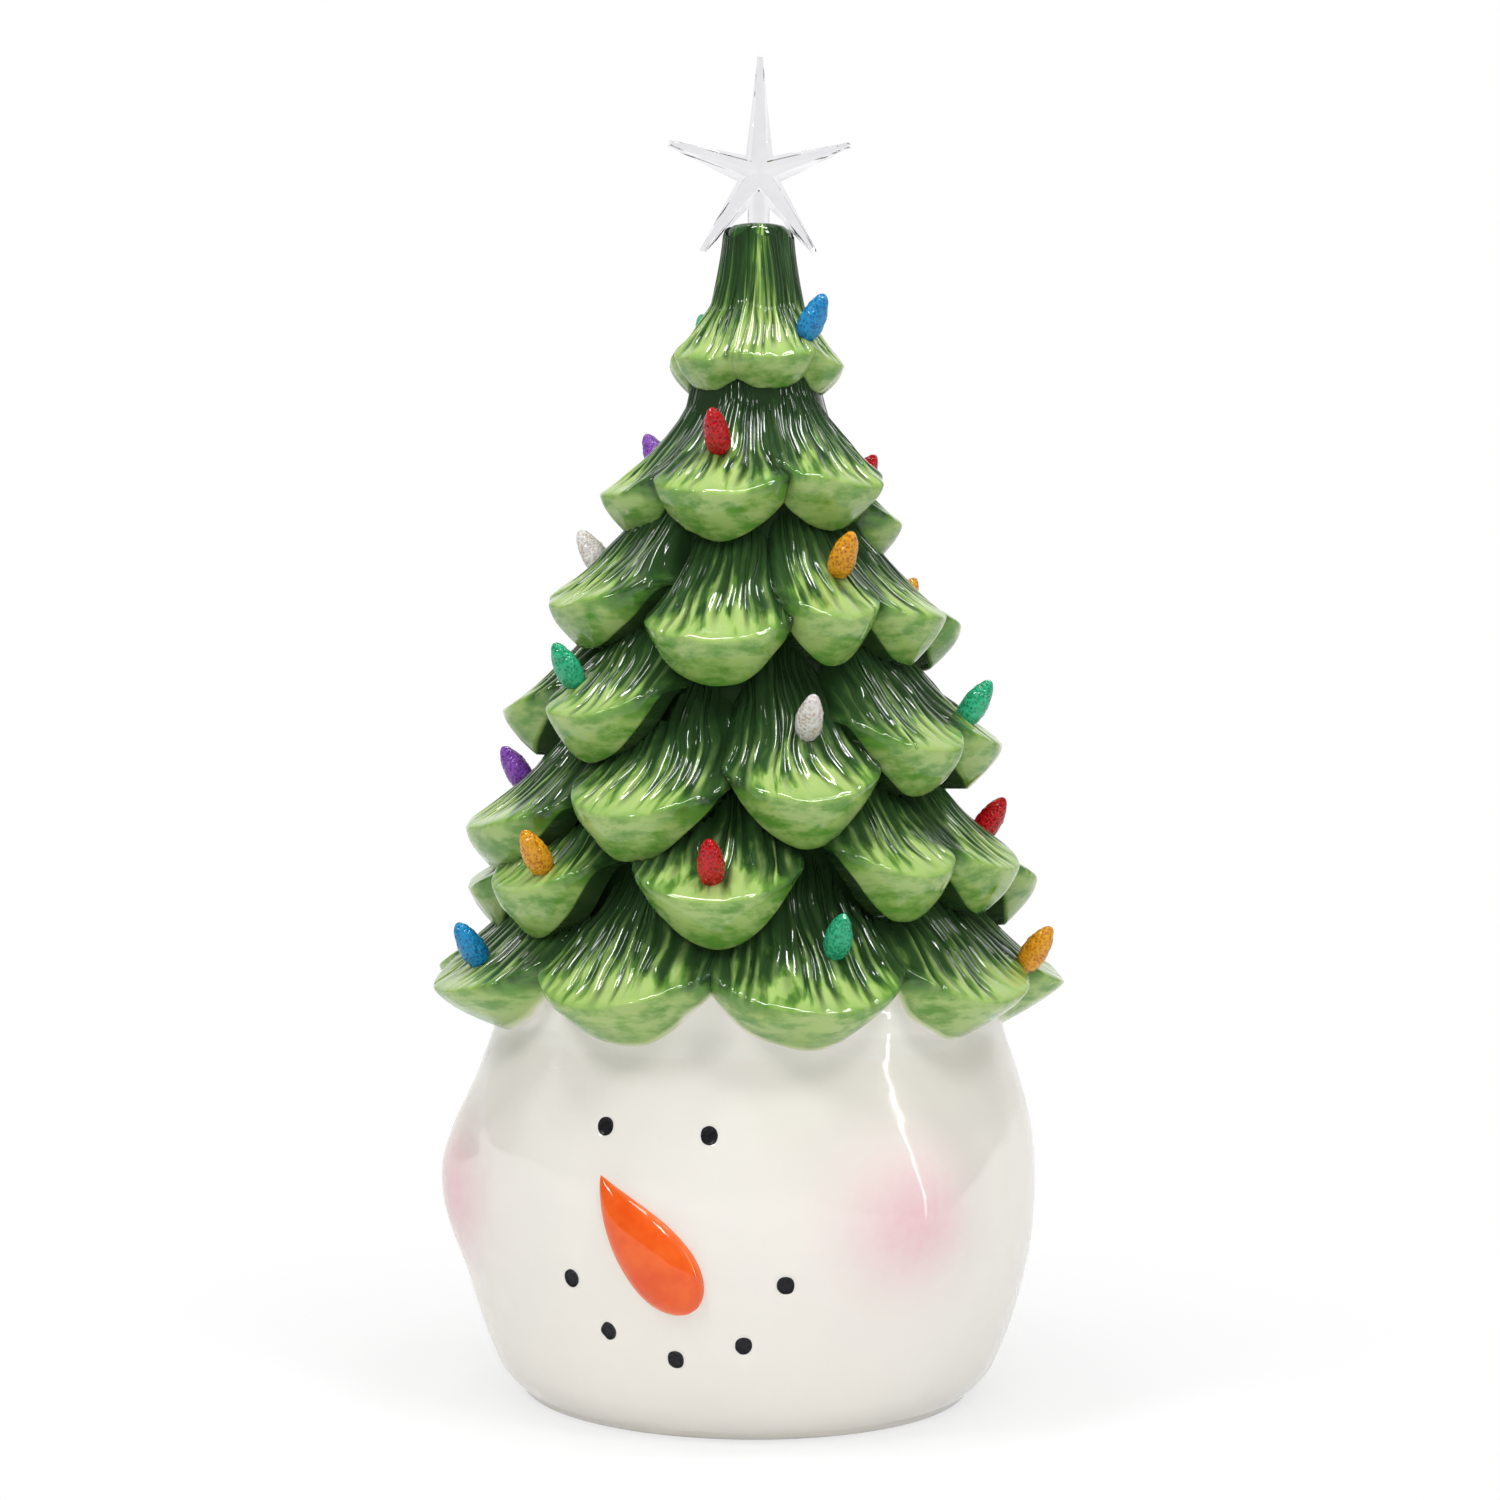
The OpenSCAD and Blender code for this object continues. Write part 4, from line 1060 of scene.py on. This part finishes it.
def make_nose(material):
    """Low relief of a carrot, tip up to one side and round at the other end."""
    share = NOSE_END + (1 - 2 * NOSE_END) * (1 - np.cos(np.linspace(0, math.pi, NOSE_RINGS))) / 2
    middle, side = nose_line(share)
    slim = np.sin(math.pi / 2 * (share / NOSE_WIDEST).clip(0, 1) ** NOSE_TAPER)
    blunt = np.sqrt(np.maximum(0, 1 - ((share - NOSE_WIDEST) / (1 - NOSE_WIDEST)).clip(0, 1) ** 2))
    full = np.where(share < NOSE_WIDEST, slim, blunt)
    v = np.cos(np.linspace(math.pi, 0, NOSE_COLUMNS))
    rings = []
    rim = []
    for k in range(len(share)):
        dome = NOSE_RISE * full[k] ** 0.75 * (1 - np.abs(v) ** 2.2) ** 0.6
        lumps = 0.12 * noise(61, v * 2 + 9, share[k] * 9 + 0 * v) * (1 - v * v)
        top = middle[k] + side[k] * (v * NOSE_HALF_W * full[k])[:, None]
        under = top[::-1][1:-1]
        rings.append(np.concatenate([
            on_head(top[:, 0], top[:, 1], dome + lumps - NOSE_BED),
            on_head(under[:, 0], under[:, 1], -NOSE_SINK),
        ]))
        rim.append(np.concatenate([np.abs(v), np.ones(len(under))]))
    values = {"rim": np.concatenate([[1], *rim, [1]])}
    points, faces = stitch(capped(rings))
    add_piece("orange_nose", points, faces, material, "body", ["carrot_nose"], values)


def make_dots(name, spots, node, seed, material):
    """Dabs of black enamel in shallow dimples of the face."""
    cos, sin = circle(DOT_SIDES)
    points = []
    faces = []
    count = 0
    for k, (bearing, height) in enumerate(spots):
        wobble = DOT_WOBBLE * noise(seed + k, cos * 1.5 + 5, sin * 1.5 + 5)
        outline = DOT_R * (1 + wobble)
        rings = []
        for share in DOT_STEPS:
            x = math.radians(bearing) * HEAD_R + share * outline * cos
            z = height + share * outline * sin
            relief = head_relief(np.degrees(x / HEAD_R), z)
            rings.append(on_head(x, z, relief + DOT_CROWN * (1 - share ** 3) + DOT_PROUD))
        rings.append(rings[-1] * np.array([DOT_UNDER, DOT_UNDER, 1]))
        ring_points, ring_faces = stitch(capped(rings))
        points.append(ring_points)
        faces += [[i + count for i in reversed(face)] for face in ring_faces]
        count += len(ring_points)
    add_piece(name, np.concatenate(points), faces, material, "body", [node])


def bulb_radius(t):
    """Teardrop radius at a share t of the bulb's length."""
    arch = np.sin(math.pi * (BULB_CUT + (1 - BULB_CUT) * t) ** BULB_SKEW)
    return BULB_D / 2 * np.sqrt(np.maximum(0, arch))


def make_bulb(number, spot, material):
    """A pebbled teardrop on its peg, leaning out of the branch."""
    x, y = circle(BULB_SIDES)
    profile = [(PEG_R, -PEG_L), (PEG_R, -0.1)]
    profile += [(float(bulb_radius(t)), BULB_L * t) for t in np.linspace(0, BULB_CLOSE, BULB_RINGS)]
    rings = [pole(-PEG_L)]
    for k, (r, z) in enumerate(profile):
        rough = 0
        for seed, share, pace in PEBBLES:
            at = (x * r * pace + 20, y * r * pace + 20, 0 * x + z * pace + 20)
            rough = rough + share * noise(seed + number, *at)
        r = r + (PEBBLE * rough * min(1, r / 2) if k >= PLAIN_RINGS else 0)
        rings.append(np.stack([r * x, r * y, z + 0 * x], 1))
    rings.append(pole(BULB_L))
    points, faces = stitch(rings)
    points[:, 2] -= BULB_SINK
    bearing, height = spot
    lean = math.radians(BULB_LEAN)
    tilt = np.array([[1, 0, 0], [0, math.cos(lean), -math.sin(lean)], [0, math.sin(lean), math.cos(lean)]])
    seat = np.array([0, -seat_radius(bearing, height), height])
    points = spun(points @ tilt.T + seat, bearing)
    name = f"bulb_{number + 1:02d}"
    add_piece(f"{name}_lens", points, faces, material, "body", [name])


def joined(*shapes):
    """Points and faces of the union of two closed shapes, each given as points and faces."""
    things = []
    for points, faces in shapes:
        mesh = bpy.data.meshes.new("joined")
        mesh.from_pydata(np.asarray(points).tolist(), [], faces)
        things.append(add_object("joined", mesh))
    join = things[0].modifiers.new("join", "BOOLEAN")
    join.operation = "UNION"
    join.solver = "EXACT"
    join.object = things[1]
    whole = things[0].evaluated_get(bpy.context.evaluated_depsgraph_get())
    mesh = whole.to_mesh()
    points = np.array([vertex.co[:] for vertex in mesh.vertices])
    faces = [list(face.vertices) for face in mesh.polygons]
    whole.to_mesh_clear()
    for thing in things:
        bpy.data.meshes.remove(thing.data)
    return points, faces


def make_star(material):
    """Clear star with a flat facet along the middle of each arm, on a round stem."""
    rim = []
    face = []
    for k, arm in enumerate([STAR_TOP_ARM] + [STAR_ARM] * 4):
        a = math.radians(90 + 72 * k)
        out = np.array([math.cos(a), math.sin(a)])
        side = np.array([-out[1], out[0]])
        between = math.radians(90 + 72 * k + 36)
        corner = STAR_WAIST_R * np.array([math.cos(between), math.sin(between)])
        rim += [out * arm - side * STAR_TIP_W, out * arm + side * STAR_TIP_W, corner]
        tip = out * (arm - STAR_TIP_CUT)
        half = FACET_TIP * side * STAR_TIP_W
        face += [tip - half, tip + half, FACET_WAIST * corner]
    rings = [np.array([[0, -STAR_T / 2 - STAR_CROWN, STAR_Z]])]
    for flat, depth in ((face, -STAR_T / 2), (rim, -STAR_EDGE), (rim, STAR_EDGE), (face, STAR_T / 2)):
        rings.append(np.array([(x, depth, STAR_Z + z) for x, z in flat]))
    rings.append(np.array([[0, STAR_T / 2 + STAR_CROWN, STAR_Z]]))
    points, faces = stitch(rings)
    x, y = circle(STEM_SIDES)
    stem = [pole(STEM_LOW_Z)]
    for r, z in ((STEM_END_R, STEM_LOW_Z), (STEM_R, STEM_LOW_Z + STEM_EDGE), (STEM_R, STEM_HIGH_Z)):
        stem.append(np.stack([r * x, r * y, z + 0 * x], 1))
    stem.append(pole(STEM_HIGH_Z))
    points, faces = joined((points, [f[::-1] for f in faces]), stitch(stem))
    points = spun(points, STAR_BEARING)
    add_piece("clear_star", points, faces, material, "star", ["star_topper"], soft=False)


make_tree(tree_glaze())
make_head(head_glaze())
make_nose(nose_glaze())
enamel = black_enamel()
make_dots("black_eyes", EYES, "coal_eyes", 71, enamel)
make_dots("black_mouth", MOUTH, "coal_mouth", 81, enamel)
make_star(star_plastic_with_painted_shade())

BULB_COLOURS = {
    "bulb_blue": ((0.002, 0.11, 0.36), (0.02, 0.36, 0.74)),
    "bulb_green": ((0.006, 0.26, 0.10), (0.05, 0.60, 0.32)),
    "bulb_red": ((0.20, 0.001, 0.003), (0.72, 0.008, 0.014)),
    "bulb_purple": ((0.08, 0.010, 0.22), (0.34, 0.10, 0.62)),
    "bulb_clear": ((0.66, 0.50, 0.38), (0.96, 0.94, 0.92)),
    "bulb_yellow": ((0.56, 0.16, 0.002), (0.98, 0.47, 0.025)),
}
bulb_finishes = {slot: bulb_plastic(slot, *pair) for slot, pair in BULB_COLOURS.items()}
slots = {row["node"]: row["material_slot"] for row in frame["record"]["subparts"]}
for index, where in enumerate(BULBS):
    bulb_slot = slots[f"bulb_{index + 1:02d}"]
    make_bulb(index, where, bulb_finishes[bulb_slot])

# Finishes of the CAD nodes that show as they are, by slot: what makes them, and its settings
KEPT_FINISHES = {
    "base_plastic": (moulded, (0.74, 0.73, 0.70)),
    "seal_rubber": (moulded, (0.03, 0.03, 0.03), 0.7, 900, 0.00005),
    "screw_steel": (plated, (0.62, 0.62, 0.64)),
    "cell_jacket": (cell_jacket,),
    "contact_steel": (plated, (0.68, 0.67, 0.65), (1, 3, 1)),
    "board_laminate": (board_laminate,),
    "component_black": (moulded, (0.025, 0.025, 0.028), 0.5),
    "switch_black": (moulded, (0.016, 0.016, 0.018), 0.45, 1100, 0.00005),
    "post_plastic": (moulded, (0.76, 0.76, 0.73)),
    "cap_diffuser": (clear_plastic, (0.93, 0.93, 0.91), 0.45),
    "strip_white": (moulded, (0.80, 0.80, 0.77), 0.35),
    "lamp_yellow": (moulded, (0.82, 0.60, 0.09), 0.25),
    "wire_red": (moulded, (0.42, 0.015, 0.012), 0.35),
    "wire_black": (moulded, (0.015, 0.015, 0.015), 0.35),
}
kept = {slot: make(slot, *settings) for slot, (make, *settings) in KEPT_FINISHES.items()}
for name, thing in frame["nodes"].items():
    if slots[name] in kept:
        thing.data.materials.clear()
        thing.data.materials.append(kept[slots[name]])


# Studio
def add_camera():
    """The camera that sees what the photograph shows."""
    data = bpy.data.cameras.new("camera")
    data.lens = VIEW_LENS
    data.sensor_width = 36
    data.clip_start = 0.01
    camera = add_object("camera", data)
    back = look(VIEW_BEARING, VIEW_ELEVATION)
    camera.location = VIEW_TARGET + back * VIEW_DISTANCE
    camera.rotation_mode = "QUATERNION"
    roll = Quaternion((0, 0, 1), math.radians(VIEW_ROLL))
    camera.rotation_quaternion = back.to_track_quat("Z", "Y") @ roll
    bpy.context.scene.camera = camera


def add_softbox(name, bearing, elevation, distance, size, watts, mirrored=True):
    """A flat lamp round the object, turned toward it, and mirrored in its gloss or only lighting it."""
    data = bpy.data.lights.new(name, "AREA")
    data.shape = "RECTANGLE"
    data.size, data.size_y = size
    data.energy = watts
    lamp = add_object(name, data)
    back = look(bearing, elevation)
    lamp.location = LAMP_TARGET + back * distance
    lamp.rotation_mode = "QUATERNION"
    lamp.rotation_quaternion = back.to_track_quat("Z", "Y")
    lamp.visible_glossy = mirrored
    lamp.visible_transmission = mirrored


def seen_rays(tree):
    """1 for rays from the camera, off something shiny, and through something clear."""
    path = tree.nodes.new("ShaderNodeLightPath")
    return [path.outputs[f"Is {kind} Ray"] for kind in ("Camera", "Glossy", "Transmission")]


def add_floor():
    """A pale floor that keeps the object's shadow and runs out into white."""
    mesh = bpy.data.meshes.new("floor")
    corners = ((-1, -1), (1, -1), (1, 1), (-1, 1))
    points = [(x * FLOOR_HALF, y * FLOOR_HALF, -FLOOR_DROP) for x, y in corners]
    mesh.from_pydata(points, [], [(0, 1, 2, 3)])
    floor = add_object("floor", mesh)
    material, tree, main = new_finish("floor", Roughness=0.9)
    main.inputs["Base Color"].default_value = (0.82, 0.82, 0.82, 1)
    where = tree.nodes.new("ShaderNodeVectorMath")
    where.operation = "LENGTH"
    link(place(tree), where.inputs[0])
    away = step_of(where.outputs["Value"], SHADOW_FROM, SHADOW_TO, 0.7, 1.0)
    glow = tree.nodes.new("ShaderNodeEmission")
    mixed = tree.nodes.new("ShaderNodeMixShader")
    camera, shiny, clear = seen_rays(tree)
    seen = math_of("MAXIMUM", camera, math_of("MAXIMUM", shiny, clear))
    link(times(seen, away), mixed.inputs[0])
    link(main.outputs[0], mixed.inputs[1])
    link(glow.outputs[0], mixed.inputs[2])
    link(mixed.outputs[0], tree.nodes["Material Output"].inputs["Surface"])
    mesh.materials.append(material)


def add_world():
    """A white backdrop behind the object in a dim room, and a plain even light on the object."""
    world = bpy.data.worlds.new("studio")
    world.use_nodes = True
    bpy.context.scene.world = world
    tree = world.node_tree
    back = tree.nodes["Background"]
    camera, shiny, clear = seen_rays(tree)
    toward = tree.nodes.new("ShaderNodeVectorMath")
    toward.operation = "DOT_PRODUCT"
    link(tree.nodes.new("ShaderNodeTexCoord").outputs["Generated"], toward.inputs[0])
    toward.inputs[1].default_value = -look(VIEW_BEARING, 0)
    facing = toward.outputs["Value"]
    mirrored = times(shiny, step_of(facing, *BACKDROP_MIRRORED, ROOM_LIGHT, 1.0))
    through = times(clear, step_of(facing, *BACKDROP_THROUGH, CLEAR_LIGHT, 1.0))
    seen = math_of("MAXIMUM", mirrored, through)
    even = step_of(math_of("MAXIMUM", shiny, clear), 0.0, 1.0, EVEN_LIGHT, 0.0)
    strength = math_of("MAXIMUM", math_of("ADD", seen, even), camera)
    link(strength, back.inputs["Strength"])
    back.inputs["Color"].default_value = (1, 1, 1, 1)


add_camera()
add_floor()
add_world()
add_softbox("left", -30, 45, 1.1, (0.16, 0.26), 3.5)
add_softbox("right", 55, 50, 1.1, (0.16, 0.26), 3.0)
add_softbox("strip", 80, 15, 1.0, (0.03, 0.8), 0.8)
add_softbox("top_left", -40, 76, 1.1, (0.1, 0.4), 3.6)
add_softbox("top_right", 70, 78, 1.1, (0.1, 0.4), 3.6)
for side in (0, 180):
    add_softbox(f"fill_{side}", VIEW_BEARING + side, 3, 1.3, (0.9, 0.3), 2.6, mirrored=False)
bpy.context.scene.view_settings.view_transform = "Standard"
